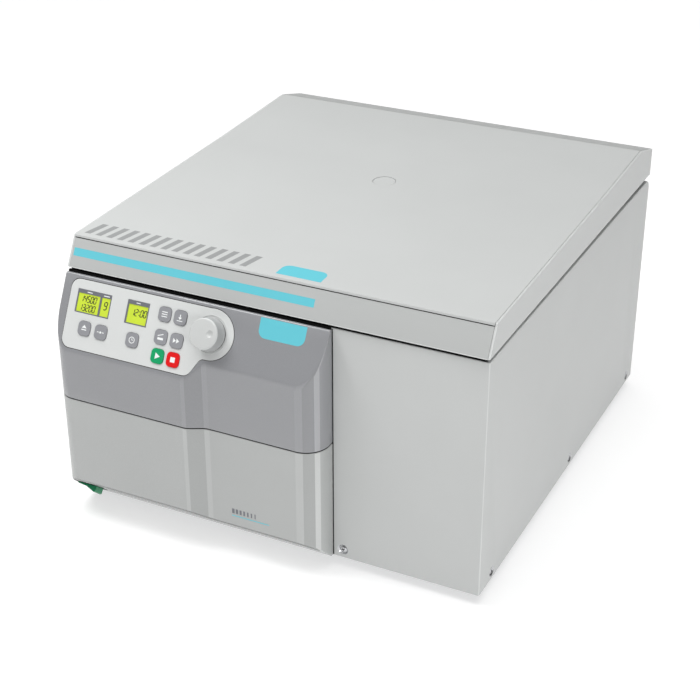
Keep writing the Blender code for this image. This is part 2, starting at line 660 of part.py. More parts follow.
def make_buckets():
    floor = BUCKET_BOTTOM + BUCKET_WALL
    inner = BUCKET_RADIUS - BUCKET_WALL
    cup = ((0, BUCKET_BOTTOM), (BUCKET_RADIUS - 6 * MM, BUCKET_BOTTOM),
           (BUCKET_RADIUS, BUCKET_BOTTOM + 6 * MM), (BUCKET_RADIUS, BUCKET_TOP), (inner, BUCKET_TOP),
           (inner, floor + 3 * MM), (inner - 3 * MM, floor), (0, floor))
    for number in range(4):
        turn = Matrix.Rotation(number * math.pi / 2, 4, "Z")
        place = Matrix.Translation((0, ROTOR_Y, PIVOT_Z)) @ turn @ Matrix.Translation((PIVOT_RADIUS, 0, 0))
        trunnion = pivot(f"bucket_{number + 1}_trunnion", place.translation, turn)
        shell = turned(cup, 32, place)
        bucket = add_object(f"bucket_{number + 1}", shell, "anodised_aluminium", trunnion, smooth=True)
        outline = rectangle(-8 * MM, -9 * MM, 8 * MM, 10 * MM)
        seat = circle((0, 0), 5.6 * MM, 12)
        lugs = [extruded(outline, low, high, place @ FRONTWARD, [seat])
                for low, high in ((41.5 * MM, 48.7 * MM), (-48.7 * MM, -41.5 * MM))]
        add(bucket, merged(lugs), trunnion)


# ---------------------------------------------------------------- lid


def make_lid(hinge):
    outer = [(FRONT_Y + back, BASE_Z + up) for back, up in reversed(LID_PROFILE)]
    shell = add_object("lid_shell", extruded(outer, -SIDE_X, SIDE_X, SIDEWAYS), "painted_steel", hinge)
    # The hollow follows the cover's outline one sheet inside it, and runs out through the open underside
    inner = inset(outer, LID_SHEET)
    first = inner.index(min(inner))
    front_foot, *others = inner[first:] + inner[:first]
    rear_foot = others[0]
    below = 15 * MM
    inside = [(front_foot[0] - below * LID_FRONT_LEAN, front_foot[1] - below),
              (rear_foot[0], rear_foot[1] - below), *others, front_foot]
    cut(shell, extruded(inside, LID_SHEET - SIDE_X, SIDE_X - LID_SHEET, SIDEWAYS), hinge)
    below_z = BASE_Z + 320 * MM
    notches = []
    for side in (-1, 1):
        for x, half, top in ((HINGE_X, 14 * MM, HINGE_Z + 10 * MM), (STRUT_X, 8 * MM, BASE_Z + 339 * MM)):
            left, right = side * x - half, side * x + half
            notches.append(block((left, REAR_Y - 5 * MM, below_z), (right, REAR_Y + 5 * MM, top)))
    port = extruded(circle((0, ROTOR_Y), PORT_RADIUS + GAP, 32), BASE_Z + 350 * MM, BASE_Z + 390 * MM)
    cut(shell, merged([*notches, port]), hinge)

    half = SIDE_X - LID_SHEET - GAP
    front = FRONT_Y + 2.5 * MM
    outline = [(-half, front), (half, front), (half, LINER_WAIST_Y), (LINER_WAIST_X, LINER_WAIST_Y),
               (LINER_WAIST_X, LINER_REAR_Y), (-LINER_WAIST_X, LINER_REAR_Y), (-LINER_WAIST_X, LINER_WAIST_Y),
               (-half, LINER_WAIST_Y)]
    liner = extruded(outline, LINER_Z, LINER_Z + LINER_THICKNESS,
                     holes=[circle((0, ROTOR_Y), PORT_RADIUS + GAP, 32)])
    add_object("lid_liner", liner, "liner_plastic", hinge)
    port_top = BASE_Z + 373.4 * MM
    window = extruded(circle((0, ROTOR_Y), PORT_RADIUS, 32), LINER_Z, port_top)
    add_object("lid_port_window", window, "port_acrylic", hinge, smooth=True)


def make_strikers(hinge):
    for side, x in (("left", -LOCK_X), ("right", LOCK_X)):
        outline = rectangle(x - 12 * MM, BASE_Z + 295 * MM, x + 12 * MM, LINER_Z - GAP)
        window = rectangle(x - 6 * MM, BASE_Z + 300 * MM, x + 6 * MM, BASE_Z + 314 * MM)
        plate = extruded(outline, -STRIKER_Y - 1.5 * MM, -STRIKER_Y + 1.5 * MM, FRONTWARD, [window])
        add_object(f"striker_{side}", plate, "machined_steel", hinge)


def make_lock():
    """Two hooks on one shaft, at rest swung clear of the strikers."""
    axle = pivot("lid_lock_axle", (0, LOCK_Y, LOCK_Z))
    shaft = extruded(circle((LOCK_Y, LOCK_Z), 5 * MM, 16), -LOCK_X - 6 * MM, LOCK_X + 6 * MM, SIDEWAYS)
    node = add_object("lid_lock", shaft, "machined_steel", axle)
    profile = [*arc((0, 0), 9 * MM, 150, 390, 10), (7 * MM, 42 * MM), (-12 * MM, 42 * MM),
               (-12 * MM, 36 * MM), (-1 * MM, 36 * MM), (-1 * MM, 14 * MM)]
    swing = Matrix.Translation((0, LOCK_Y, LOCK_Z)) @ Matrix.Rotation(-LOCK_OPEN_ANGLE, 4, "X") @ SIDEWAYS
    hooks = [extruded(profile, x - 2.5 * MM, x + 2.5 * MM, swing) for x in (-LOCK_X, LOCK_X)]
    add(node, merged(hooks), axle)
    outline = rectangle(FRONT_Y + 28 * MM, BASE_Z + 252 * MM, FRONT_Y + 64 * MM, UNDER_DECK_Z)
    bearing = extruded(outline, -30 * MM, 30 * MM, SIDEWAYS, [circle((LOCK_Y, LOCK_Z), 5.6 * MM, 16)])
    add_object("lock_bearing", bearing, "black_plastic")


def make_hinges(hinge):
    """Each bracket stands on the deck and carries its pin; the leaf on the lid turns round the pin."""
    for side, x in (("left", -HINGE_X), ("right", HINGE_X)):
        outward = 1 if x > 0 else -1
        inner_x = x - outward * HINGE_WIDTH / 2
        outer_x = x + outward * HINGE_WIDTH / 2
        foot_y = FRONT_Y + 584 * MM
        web = [(foot_y, DECK_Z + GAP), (FRONT_Y + 611 * MM, DECK_Z + GAP),
               (HINGE_Y + 4 * MM, HINGE_Z - 5 * MM), *arc((HINGE_Y, HINGE_Z), 6.4 * MM, -50, 200, 10),
               (FRONT_Y + 604 * MM, DECK_Z + 2.3 * MM), (foot_y, DECK_Z + 2.3 * MM)]
        knuckle_half = 4 * MM
        bracket = extruded(web, x - knuckle_half, x + knuckle_half, SIDEWAYS)
        node = add_object(f"hinge_bracket_{side}", bracket, "machined_steel")
        pin_low = min(x, x + outward * 46 * MM)
        pin_high = max(x, x + outward * 46 * MM)
        add(node, extruded(circle((HINGE_Y, HINGE_Z), 3 * MM, 16), pin_low, pin_high, SIDEWAYS))

        head_y, head_z = STRUT_HEAD
        leaf_inner = outward * (STRUT_X + STRUT_HEAD_WIDTH / 2 + 3 * MM)
        leaf_low, leaf_high = sorted((leaf_inner, leaf_inner + outward * LEAF_THICKNESS))
        eye = circle((HINGE_Y, HINGE_Z), 3.4 * MM, 16)
        plate = [*arc((HINGE_Y, HINGE_Z), 6.4 * MM, -90, 80, 8), (HINGE_Y - 14 * MM, BASE_Z + 363 * MM),
                 (FRONT_Y + 548 * MM, BASE_Z + 378 * MM), (FRONT_Y + 548 * MM, head_z - 6 * MM)]
        leaf = extruded(plate, leaf_low, leaf_high, SIDEWAYS, [eye])
        node = add_object(f"lid_hinge_leaf_{side}", leaf, "machined_steel", hinge)
        stud_low, stud_high = sorted((leaf_inner + outward * 1 * MM, leaf_inner - outward * 2.4 * MM))
        add(node, extruded(circle((head_y, head_z), 5 * MM, 12), stud_low, stud_high, SIDEWAYS), hinge)


def make_struts():
    foot = Vector((0, *STRUT_FOOT))
    head = Vector((0, *STRUT_HEAD))
    length = (head - foot).length
    lean = math.atan2(head.y - foot.y, head.z - foot.z)
    for side, outward in (("left", -1), ("right", 1)):
        place = Matrix.Translation((outward * STRUT_X, *STRUT_FOOT)) @ Matrix.Rotation(-lean, 4, "X")
        foot_pivot = pivot(f"strut_{side}_foot", place.translation)
        barrel = ((0, -9 * MM), (9 * MM, -9 * MM), (9 * MM, STRUT_BARREL), (4.5 * MM, STRUT_BARREL),
                  (4.5 * MM, 20 * MM), (0, 20 * MM))
        tube = turned(barrel, 16, place)
        cylinder = add_object(f"strut_cylinder_{side}", tube, "black_plastic", foot_pivot, smooth=True)
        stud_ends = sorted((outward * (STRUT_X + 3 * MM), outward * (SIDE_X - SHEET - 1 * MM)))
        stud = extruded(circle(STRUT_FOOT, 4 * MM, 12), *stud_ends, SIDEWAYS)
        add(cylinder, stud, foot_pivot)

        rod_slide = pivot(f"strut_{side}_slide", place.translation, place)
        rod = ((0, 35 * MM), (4 * MM, 35 * MM), (4 * MM, length), (0, length))
        node = add_object(f"strut_rod_{side}", turned(rod, 12, place), "machined_steel", rod_slide)
        head_x = outward * STRUT_X
        end = extruded(circle(STRUT_HEAD, STRUT_HEAD_RADIUS, 16), head_x - STRUT_HEAD_WIDTH / 2,
                       head_x + STRUT_HEAD_WIDTH / 2, SIDEWAYS)
        add(node, end, rod_slide)


# ---------------------------------------------------------------- electrics and cooling


def make_motor_drive():
    """The inverter: a flat module with a comb of cooling fins."""
    fins = []
    left = 115 * MM
    for number in range(9):
        x = left + number * 15 * MM
        fins += [(x, 80 * MM), (x + 4 * MM, 80 * MM)]
        if number < 8:
            fins += [(x + 4 * MM, 50 * MM), (x + 15 * MM, 50 * MM)]
    right = left + 8 * 15 * MM + 4 * MM
    outline = [(right, DECK_SHEET + GAP), *reversed(fins), (left, DECK_SHEET + GAP)]
    frame = Matrix.Translation((0, 0, BASE_Z)) @ FRONTWARD
    add_object("motor_drive", extruded(outline, 90 * MM, 210 * MM, frame), "anodised_aluminium")


def make_fan():
    back = REAR_Y - SHEET - 1 * MM
    frame = Matrix.Translation((FAN_X, back, FAN_Z)) @ FRONTWARD
    square = rounded_rectangle(-FAN_HALF, -FAN_HALF, FAN_HALF, FAN_HALF, 6 * MM, 2)
    housing = add_object("fan_frame", extruded(square, 0, FAN_DEPTH, frame, [circle((0, 0), FAN_RADIUS, 32)]),
                         "black_plastic")
    spider = []
    for quarter in range(4):
        turn = Matrix.Rotation(quarter * math.pi / 2, 2)
        corners = ((FAN_RADIUS + 1 * MM, -2.5 * MM), (FAN_RADIUS + 1 * MM, 2.5 * MM), (14 * MM, 2.5 * MM),
                   (12 * MM, 12 * MM), (2.5 * MM, 14 * MM))
        spider += [tuple(turn @ Vector(corner)) for corner in corners]
    add(housing, extruded(spider, FAN_DEPTH - 3 * MM, FAN_DEPTH - 0.5 * MM, frame))

    shaft = pivot("fan_shaft", (FAN_X, back - FAN_DEPTH / 2, FAN_Z), frame)
    hub = ((0, 2 * MM), (16.5 * MM, 2 * MM), (16.5 * MM, FAN_DEPTH - 4 * MM), (0, FAN_DEPTH - 4 * MM))
    rotor = add_object("fan_rotor", turned(hub, 24, frame), "black_plastic", shaft, smooth=True)
    blades = []
    for number in range(7):
        turn = frame @ Matrix.Rotation(math.tau * number / 7, 4, "Z") @ Matrix.Translation((0, 0, 11 * MM))
        pitch = turn @ Matrix.Rotation(math.radians(35), 4, "X")
        blades.append(extruded(rectangle(15 * MM, -10 * MM, 40 * MM, 10 * MM), -0.8 * MM, 0.8 * MM, pitch))
    add(rotor, merged(blades), shaft)


def make_mains_inlet():
    """Appliance inlet for a detachable cord: three flat pins in a socket with two cut corners."""
    frame = Matrix.Translation((INLET_X, REAR_Y - 0.5 * MM, INLET_Z)) @ FRONTWARD
    half_width, half_height = (size / 2 for size in INLET_SIZE)
    outline = rectangle(-half_width, -half_height, half_width, half_height)
    inlet = add_object("mains_inlet", extruded(outline, 0, INLET_DEPTH, frame), "black_plastic")
    wide = half_width - 1.5 * MM
    tall = half_height - 1.5 * MM
    socket = [(-wide, -tall), (wide, -tall), (wide, tall - 4 * MM), (wide - 4 * MM, tall),
              (4 * MM - wide, tall), (-wide, tall - 4 * MM)]
    pins = [rectangle(-8 * MM, -4 * MM, -6 * MM, 0), rectangle(6 * MM, -4 * MM, 8 * MM, 0),
            rectangle(-2 * MM, 3.5 * MM, 2 * MM, 5.5 * MM)]
    cut(inlet, extruded(socket, -5 * MM, 17 * MM, frame, pins))


def main():
    clear_scene()
    hinge = pivot("lid_hinge_axis", (0, HINGE_Y, HINGE_Z))
    make_base()
    make_feet()
    make_front_panel()
    make_side_panels()
    make_deck()
    make_rear_panel()
    make_upper_fascia()
    make_lower_fascia()
    make_control_plate()
    make_displays()
    make_keys()
    make_knob()
    make_control_board()
    make_mains_switch()
    make_chamber()
    make_motor()
    make_rotor()
    make_buckets()
    make_lid(hinge)
    make_strikers(hinge)
    make_lock()
    make_hinges(hinge)
    make_struts()
    make_motor_drive()
    make_fan()
    make_mains_inlet()


main()
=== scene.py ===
"""Looks of a laboratory bench centrifuge: every visible surface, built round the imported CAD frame."""

import math

import bmesh
import bpy
from mathutils import Matrix, Vector


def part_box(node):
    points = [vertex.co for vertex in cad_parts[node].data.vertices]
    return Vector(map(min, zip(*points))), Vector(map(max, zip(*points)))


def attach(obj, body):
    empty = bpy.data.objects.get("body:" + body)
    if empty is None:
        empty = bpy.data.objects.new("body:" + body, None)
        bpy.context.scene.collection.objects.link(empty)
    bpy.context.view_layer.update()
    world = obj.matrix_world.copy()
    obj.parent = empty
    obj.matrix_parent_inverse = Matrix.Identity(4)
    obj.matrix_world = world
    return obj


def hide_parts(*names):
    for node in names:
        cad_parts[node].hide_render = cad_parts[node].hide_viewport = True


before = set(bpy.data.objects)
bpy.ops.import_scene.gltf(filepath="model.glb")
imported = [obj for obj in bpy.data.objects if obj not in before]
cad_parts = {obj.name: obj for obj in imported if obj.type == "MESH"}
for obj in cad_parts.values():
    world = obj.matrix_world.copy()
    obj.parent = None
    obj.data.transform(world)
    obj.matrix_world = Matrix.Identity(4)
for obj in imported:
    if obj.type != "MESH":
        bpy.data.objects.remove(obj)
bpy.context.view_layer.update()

MM = 0.001

# Places read from the frame
CASE_LOW, CASE_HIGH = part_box("right_side_panel")
FRONT_Y = CASE_LOW[1]
REAR_Y = CASE_HIGH[1]
SIDE_X = CASE_HIGH[0]
BASE_Z = CASE_LOW[2]
SIDE_TOP_Z = CASE_HIGH[2]
DECK_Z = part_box("top_deck")[1][2]
FASCIA_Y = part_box("lower_fascia")[0][1]
FASCIA_RIGHT_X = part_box("upper_fascia")[1][0]
FASCIA_TOP_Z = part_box("upper_fascia")[1][2]
SEAM_Z = (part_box("upper_fascia")[0][2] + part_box("lower_fascia")[1][2]) / 2
LID_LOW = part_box("lid_shell")[0]
BOWL_LOW, BOWL_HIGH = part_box("chamber_bowl")
ROTOR_Y = (BOWL_LOW[1] + BOWL_HIGH[1]) / 2

# Moulded cover, as in the CAD
STEP_PROUD = 39 * MM
STEP_X = (-96 * MM, -64 * MM)
LEFT_RADIUS = 23 * MM
RIGHT_RADIUS = 31 * MM
COVER_WALL = 3 * MM
SEAM_HALF = 0.6 * MM
PANEL_FOOT_Z = BASE_Z + 254.3 * MM
PANEL_SLOPE = math.radians(62.97)
BEVEL_START = 4 * MM
BEVEL_SLOPE = math.radians(41.7)
PLATE_TOP = 0.6 * MM

# Lid, side profile as (back from the casing front, up from the casing underside)
LID_FRONT_FOOT = (-3 * MM, 326.7 * MM)
LID_FRONT_HEAD = (17.4 * MM, 364.4 * MM)
LID_BEND = (388 * MM, 375.6 * MM)
LID_CREST = (566.7 * MM, 383.8 * MM)
LID_REAR_HEAD = (625 * MM, 368.4 * MM)
LID_REAR_FOOT = (625 * MM, 328.4 * MM)
LID_SHEET = 1.6 * MM
LIP_PROUD = 1.0 * MM
LIP_HEIGHT = 3.6 * MM
GROOVE = 1.1 * MM
CHEEK = 2.6 * MM
SCREW_CUP = 7.6 * MM

SIDEWAYS = Matrix(((0, 0, 1, 0), (1, 0, 0, 0), (0, 1, 0, 0), (0, 0, 0, 1)))
FRONTWARD = Matrix(((1, 0, 0, 0), (0, 0, -1, 0), (0, 1, 0, 0), (0, 0, 0, 1)))
PANEL = Matrix.Translation((0, FRONT_Y - STEP_PROUD, PANEL_FOOT_Z)) @ Matrix.Rotation(PANEL_SLOPE, 4, "X")
BEVEL = (Matrix.Translation((0, FRONT_Y - BEVEL_START, BASE_Z))
         @ Matrix.Rotation(math.pi - BEVEL_SLOPE, 4, "X"))


def lid_frame(foot, head):
    """A frame on a flat stretch of the lid: x across, y along the stretch, z outwards."""
    slope = math.atan2(head[1] - foot[1], head[0] - foot[0])
    place = Matrix.Translation((0, FRONT_Y + foot[0], BASE_Z + foot[1]))
    return place @ Matrix.Rotation(slope, 4, "X")


LID_FRONT = lid_frame(LID_FRONT_FOOT, LID_FRONT_HEAD)
LID_TOP = lid_frame(LID_FRONT_HEAD, LID_BEND)


# ---------------------------------------------------------------- materials


def shade(value):
    """A display value from 0 to 255 as scene-linear light."""
    value /= 255
    return value / 12.92 if value <= 0.04045 else ((value + 0.055) / 1.055) ** 2.4


def rgb(red, green, blue):
    return (shade(red), shade(green), shade(blue))


def scaled(colour, factor):
    return (*(min(1.0, part * factor) for part in colour), 1.0)


def material(name, colour, roughness, metallic=0.0, grain=900, depth=0.05, mottle=0.03, spread=0.05,
             stretch=(1, 1, 1), patch=9, **sockets):
    """A Principled surface with a fine grain in its relief, and slow drifts in its colour and gloss."""
    made = bpy.data.materials.new(name)
    made.use_nodes = True
    nodes = made.node_tree.nodes
    links = made.node_tree.links
    shader = nodes["Principled BSDF"]
    shader.inputs["Metallic"].default_value = metallic
    for socket, value in sockets.items():
        shader.inputs[socket.replace("_", " ")].default_value = value
    place = nodes.new("ShaderNodeTexCoord")
    mapping = nodes.new("ShaderNodeMapping")
    mapping.inputs["Scale"].default_value = stretch
    links.new(place.outputs["Object"], mapping.inputs["Vector"])

    def noise(scale, detail, source):
        texture = nodes.new("ShaderNodeTexNoise")
        texture.inputs["Scale"].default_value = scale
        texture.inputs["Detail"].default_value = detail
        links.new(source, texture.inputs["Vector"])
        return texture.outputs["Fac"]

    fine = noise(grain, 2, mapping.outputs["Vector"])
    slow = noise(patch, 3, place.outputs["Object"])
    bump = nodes.new("ShaderNodeBump")
    bump.inputs["Strength"].default_value = depth
    bump.inputs["Distance"].default_value = 0.0006
    links.new(fine, bump.inputs["Height"])
    links.new(bump.outputs["Normal"], shader.inputs["Normal"])
    tint = nodes.new("ShaderNodeValToRGB")
    tint.color_ramp.elements[0].position = 0.3
    tint.color_ramp.elements[1].position = 0.7
    tint.color_ramp.elements[0].color = scaled(colour, 1 - mottle)
    tint.color_ramp.elements[1].color = scaled(colour, 1 + mottle)
    links.new(slow, tint.inputs["Fac"])
    links.new(tint.outputs["Color"], shader.inputs["Base Color"])
    gloss = nodes.new("ShaderNodeMapRange")
    gloss.inputs["From Min"].default_value = 0.3
    gloss.inputs["From Max"].default_value = 0.7
    gloss.inputs["To Min"].default_value = max(0.02, roughness - spread)
    gloss.inputs["To Max"].default_value = min(1.0, roughness + spread)
    links.new(fine, gloss.inputs["Value"])
    links.new(gloss.outputs["Result"], shader.inputs["Roughness"])
    return made


PAINT = material("paint_light_grey", rgb(196, 198, 197), 0.42, grain=1400, depth=0.045, mottle=0.012)
# Lighter paint for rounded folds and edges: a painted highlight.
PAINT_HIGHLIGHT_ON_FOLDS = material("painted_highlight_on_folds", rgb(216, 218, 217), 0.36, grain=1400, depth=0.045, mottle=0.02)
# Darker paint for the lid's lip band: painted shade.
PAINT_SHADE_ON_LIP = material("painted_shade_on_lip", rgb(184, 186, 185), 0.42, grain=1400, depth=0.045, mottle=0.012)


def moulding(name, *tone):
    return material(f"moulding_{name}", rgb(*tone), 0.24, grain=2600, depth=0.04, mottle=0.015, IOR=1.7)


COVER_DARK = moulding("mid_grey", 146, 147, 150)
COVER_LIGHT = moulding("light_grey", 176, 178, 177)
# Lighter and darker copies of each moulding: painted highlights and painted shade for its bends.
COVER_PAINTED_LIGHT_BANDS = {
    COVER_DARK: [moulding("mid_grey_faint_painted_highlight", 151, 152, 155), moulding("mid_grey_painted_shade", 140, 141, 144),
                 moulding("mid_grey_painted_highlight", 166, 167, 170), moulding("mid_grey_painted_shade_over_foot", 112, 113, 116)],
    COVER_LIGHT: [moulding("light_grey_faint_painted_highlight", 184, 186, 185), moulding("light_grey_painted_shade", 166, 168, 167),
                  moulding("light_grey_painted_highlight", 200, 202, 201), moulding("light_grey_painted_shade_over_foot", 124, 126, 125)],
}
# Darker paint for the lid's rear slope: painted shade.
PAINT_SHADE_ON_REAR_SLOPE = material("painted_shade_on_rear_slope", rgb(176, 178, 177), 0.42, grain=1400, depth=0.045, mottle=0.012)
FILM = material("keypad_film", rgb(214, 216, 215), 0.38, grain=3000, depth=0.03, mottle=0.008)
KEY_GREY = material("key_mid_grey", rgb(146, 147, 151), 0.45, grain=3000, depth=0.04, mottle=0.02)
KEY_GREEN = material("key_green", rgb(14, 158, 100), 0.42, grain=3000, depth=0.04, mottle=0.02)
KEY_RED = material("key_red", rgb(224, 14, 18), 0.42, grain=3000, depth=0.04, mottle=0.02)
PRINT_WHITE = material("print_white", rgb(238, 240, 240), 0.5, grain=3000, depth=0.02, mottle=0.01)
PRINT_GREY = material("print_grey", rgb(150, 152, 152), 0.5, grain=2500, depth=0.02, mottle=0.015)
PRINT_CYAN = material("print_cyan", rgb(100, 196, 210), 0.45, grain=2500, depth=0.02, mottle=0.012)
PRINT_BLACK = material("print_black", rgb(46, 52, 34), 0.5, grain=2500, depth=0.02, mottle=0.03)
BEZEL = material("display_bezel", rgb(112, 114, 120), 0.4, grain=2600, depth=0.03, mottle=0.02)
KNOB = material("knob_light_grey", rgb(202, 204, 203), 0.33, grain=2200, depth=0.03, mottle=0.01)
ROCKER = material("rocker_green", rgb(16, 136, 88), 0.25, grain=1800, depth=0.03, mottle=0.04,
                  Coat_Weight=0.3)
BLACK = material("black_moulding", rgb(34, 34, 36), 0.45, grain=2200, depth=0.08, mottle=0.06)
RUBBER = material("black_rubber", rgb(36, 36, 37), 0.78, grain=1500, depth=0.15, mottle=0.08)
STEEL = material("bright_steel", rgb(196, 197, 199), 0.28, 1.0, grain=900, depth=0.06, stretch=(1, 1, 9))
# Near-black for gaps, grooves and recesses: painted shadow.
SHADOW = material("painted_shadow_black", rgb(12, 12, 12), 0.9, grain=1500, depth=0.1, mottle=0.1,
                  Specular_IOR_Level=0.1)
# A darker grey for the knob's side: painted shade.
KNOB_SIDE_SHADE = material("knob_painted_shade_side", rgb(166, 168, 168), 0.33, grain=2200, depth=0.03, mottle=0.01)
ZINC = material("zinc_sheet", rgb(170, 173, 176), 0.4, 1.0, grain=300, depth=0.05, mottle=0.07, patch=40)
ANODISED = material("satin_anodising", rgb(176, 180, 186), 0.42, 0.9, grain=2400, depth=0.06, mottle=0.03)
LINER = material("liner_plastic", rgb(204, 206, 205), 0.5, grain=1800, depth=0.08, mottle=0.012)
BOARD = material("board_green", rgb(26, 92, 58), 0.4, grain=900, depth=0.06, mottle=0.1, patch=120)


def lcd_material():
    """The yellow-green back of a reflective display, with a faint painted glow."""
    made = material("lcd_yellow_green", rgb(196, 216, 66), 0.22, grain=4200, depth=0.02, mottle=0.03,
                    patch=60)
    shader = made.node_tree.nodes["Principled BSDF"]
    shader.inputs["Emission Color"].default_value = (*rgb(196, 216, 66), 1)
    shader.inputs["Emission Strength"].default_value = 0.12
    return made


def spun_material():
    """Spun stainless steel: fine rings round the rotor's axis."""
    made = material("spun_stainless", rgb(208, 209, 210), 0.34, 0.85, grain=420, depth=0.05, mottle=0.02)
    nodes = made.node_tree.nodes
    links = made.node_tree.links
    place = nodes["Texture Coordinate"]
    centre = nodes.new("ShaderNodeVectorMath")
    centre.operation = "SUBTRACT"
    centre.inputs[1].default_value = (0, ROTOR_Y, 0)
    links.new(place.outputs["Object"], centre.inputs[0])
    flat = nodes.new("ShaderNodeVectorMath")
    flat.operation = "MULTIPLY"
    flat.inputs[1].default_value = (1, 1, 0)
    links.new(centre.outputs["Vector"], flat.inputs[0])
    radius = nodes.new("ShaderNodeVectorMath")
    radius.operation = "LENGTH"
    links.new(flat.outputs["Vector"], radius.inputs[0])
    split = nodes.new("ShaderNodeSeparateXYZ")
    links.new(centre.outputs["Vector"], split.inputs["Vector"])
    rings = nodes.new("ShaderNodeCombineXYZ")
    links.new(radius.outputs["Value"], rings.inputs["X"])
    links.new(split.outputs["Z"], rings.inputs["Y"])
    links.new(rings.outputs["Vector"], nodes["Mapping"].inputs["Vector"])
    return made


LCD = lcd_material()
SPUN = spun_material()


# ---------------------------------------------------------------- mesh tools


def arc(centre, radius, start, end, steps):
    angles = [math.radians(start + (end - start) * step / steps) for step in range(steps + 1)]
    return [(centre[0] + radius * math.cos(a), centre[1] + radius * math.sin(a)) for a in angles]


def millimetres(points):
    """The same outline, given in millimetres."""
    return [(first * MM, second * MM) for first, second in points]


def circle(centre, radius, segments):
    return arc(centre, radius, 0, 360, segments)[:-1]


def rectangle(left, bottom, right, top):
    return [(left, bottom), (right, bottom), (right, top), (left, top)]


def rounded(left, bottom, right, top, radius, steps=6):
    return [
        *arc((right - radius, top - radius), radius, 0, 90, steps),
        *arc((left + radius, top - radius), radius, 90, 180, steps),
        *arc((left + radius, bottom + radius), radius, 180, 270, steps),
        *arc((right - radius, bottom + radius), radius, 270, 360, steps),
    ]


def fillet(before, corner, after, radius, steps=5):
    """Points that round a corner between two straight stretches."""
    corner = Vector(corner)
    back = (Vector(before) - corner).normalized()
    ahead = (Vector(after) - corner).normalized()
    half = back.angle(ahead) / 2
    reach = radius / math.tan(half)
    centre = corner + (back + ahead).normalized() * (radius / math.sin(half))
    start = corner + back * reach - centre
    turn = start.angle_signed(corner + ahead * reach - centre)
    return [tuple(centre + Matrix.Rotation(-turn * step / steps, 2) @ start) for step in range(steps + 1)]


def prism(outline, low, high, place=Matrix(), holes=()):
    """A closed prism of a flat outline with holes, from low to high along the frame's third axis."""
    mesh = bmesh.new()
    for loop in (outline, *holes):
        points = [mesh.verts.new((u, v, low)) for u, v in loop]
        for here, there in zip(points, points[1:] + points[:1]):
            mesh.edges.new((here, there))
    bmesh.ops.triangle_fill(mesh, use_beauty=True, edges=mesh.edges[:])
    grown = bmesh.ops.extrude_face_region(mesh, geom=mesh.faces[:])
    raised = [item for item in grown["geom"] if isinstance(item, bmesh.types.BMVert)]
    bmesh.ops.translate(mesh, vec=(0, 0, high - low), verts=raised)
    bmesh.ops.recalc_face_normals(mesh, faces=mesh.faces[:])
    mesh.transform(place)
    return mesh


def lathe(profile, segments=96, place=Matrix(), ring=False):
    """A closed solid turned about the frame's third axis from (radius, height) points."""
    mesh = bmesh.new()
    rows = []
    for radius, height in profile:
        if radius == 0:
            rows.append([mesh.verts.new((0, 0, height))] * segments)
            continue
        turns = [math.tau * step / segments for step in range(segments)]
        rows.append([mesh.verts.new((radius * math.cos(t), radius * math.sin(t), height)) for t in turns])
    pairs = list(zip(rows, rows[1:] + rows[:1]))
    for lower, upper in pairs if ring else pairs[:-1]:
        for step in range(segments):
            beside = (step + 1) % segments
            corners = dict.fromkeys((lower[step], lower[beside], upper[beside], upper[step]))
            if len(corners) > 2:
                mesh.faces.new(corners)
    bmesh.ops.recalc_face_normals(mesh, faces=mesh.faces[:])
    mesh.transform(place)
    return mesh


def loft(rings):
    """A closed skin over a row of rings with equal counts of points, capped at both ends."""
    mesh = bmesh.new()
    rows = [[mesh.verts.new(point) for point in ring] for ring in rings]
    count = len(rows[0])
    for row, after in zip(rows, rows[1:]):
        for step in range(count):
            beside = (step + 1) % count
            mesh.faces.new((row[step], row[beside], after[beside], after[step]))
    mesh.faces.new(rows[0])
    mesh.faces.new(rows[-1])
    bmesh.ops.recalc_face_normals(mesh, faces=mesh.faces[:])
    return mesh


def merged(meshes):
    """Several closed meshes as one."""
    result = bmesh.new()
    for mesh in meshes:
        data = bpy.data.meshes.new("merge")
        mesh.to_mesh(data)
        mesh.free()
        result.from_mesh(data)
        bpy.data.meshes.remove(data)
    return result


def block(low, high):
    return prism(rectangle(low[0], low[1], high[0], high[1]), low[2], high[2])


def draw(name, mesh):
    data = bpy.data.meshes.new(name)
    mesh.to_mesh(data)
    mesh.free()
    made = bpy.data.objects.new(name, data)
    bpy.context.scene.collection.objects.link(made)
    return made


def carve(target, cutter):
    """Cut a closed mesh out of an object and keep the result as its mesh."""
    tool = draw("cutter", cutter)
    modifier = target.modifiers.new("Cut", "BOOLEAN")
    modifier.operation = "DIFFERENCE"
    modifier.solver = "EXACT"
    modifier.object = tool
    bpy.context.view_layer.update()
    seen = target.evaluated_get(bpy.context.evaluated_depsgraph_get())
    result = bpy.data.meshes.new_from_object(seen)
    target.modifiers.clear()
    target.data = result
    bpy.data.objects.remove(tool, do_unlink=True)


def dress(made, surface, body, slot, stands_for=(), edge=0, segments=3, smooth=32, rim=None):
    """Give a piece its surface, shading, rounded edges and body."""
    made.data.materials.clear()
    made.data.materials.append(surface)
    if smooth:
        made.data.shade_smooth()
        made.data.set_sharp_from_angle(angle=math.radians(smooth))
    if edge:
        modifier = made.modifiers.new("Edges", "BEVEL")
        modifier.width = edge
        modifier.segments = segments
        modifier.limit_method = "ANGLE"
        modifier.angle_limit = math.radians(40)
        if rim:
            made.data.materials.append(rim)
            modifier.material = 1
        normals = made.modifiers.new("Normals", "WEIGHTED_NORMAL")
        normals.keep_sharp = True
    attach(made, body)
    if stands_for:
        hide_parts(*stands_for)
    return made


def piece(name, mesh, surface, body, slot, stands_for=(), **looks):
    return dress(draw(name, mesh), surface, body, slot, stands_for, **looks)


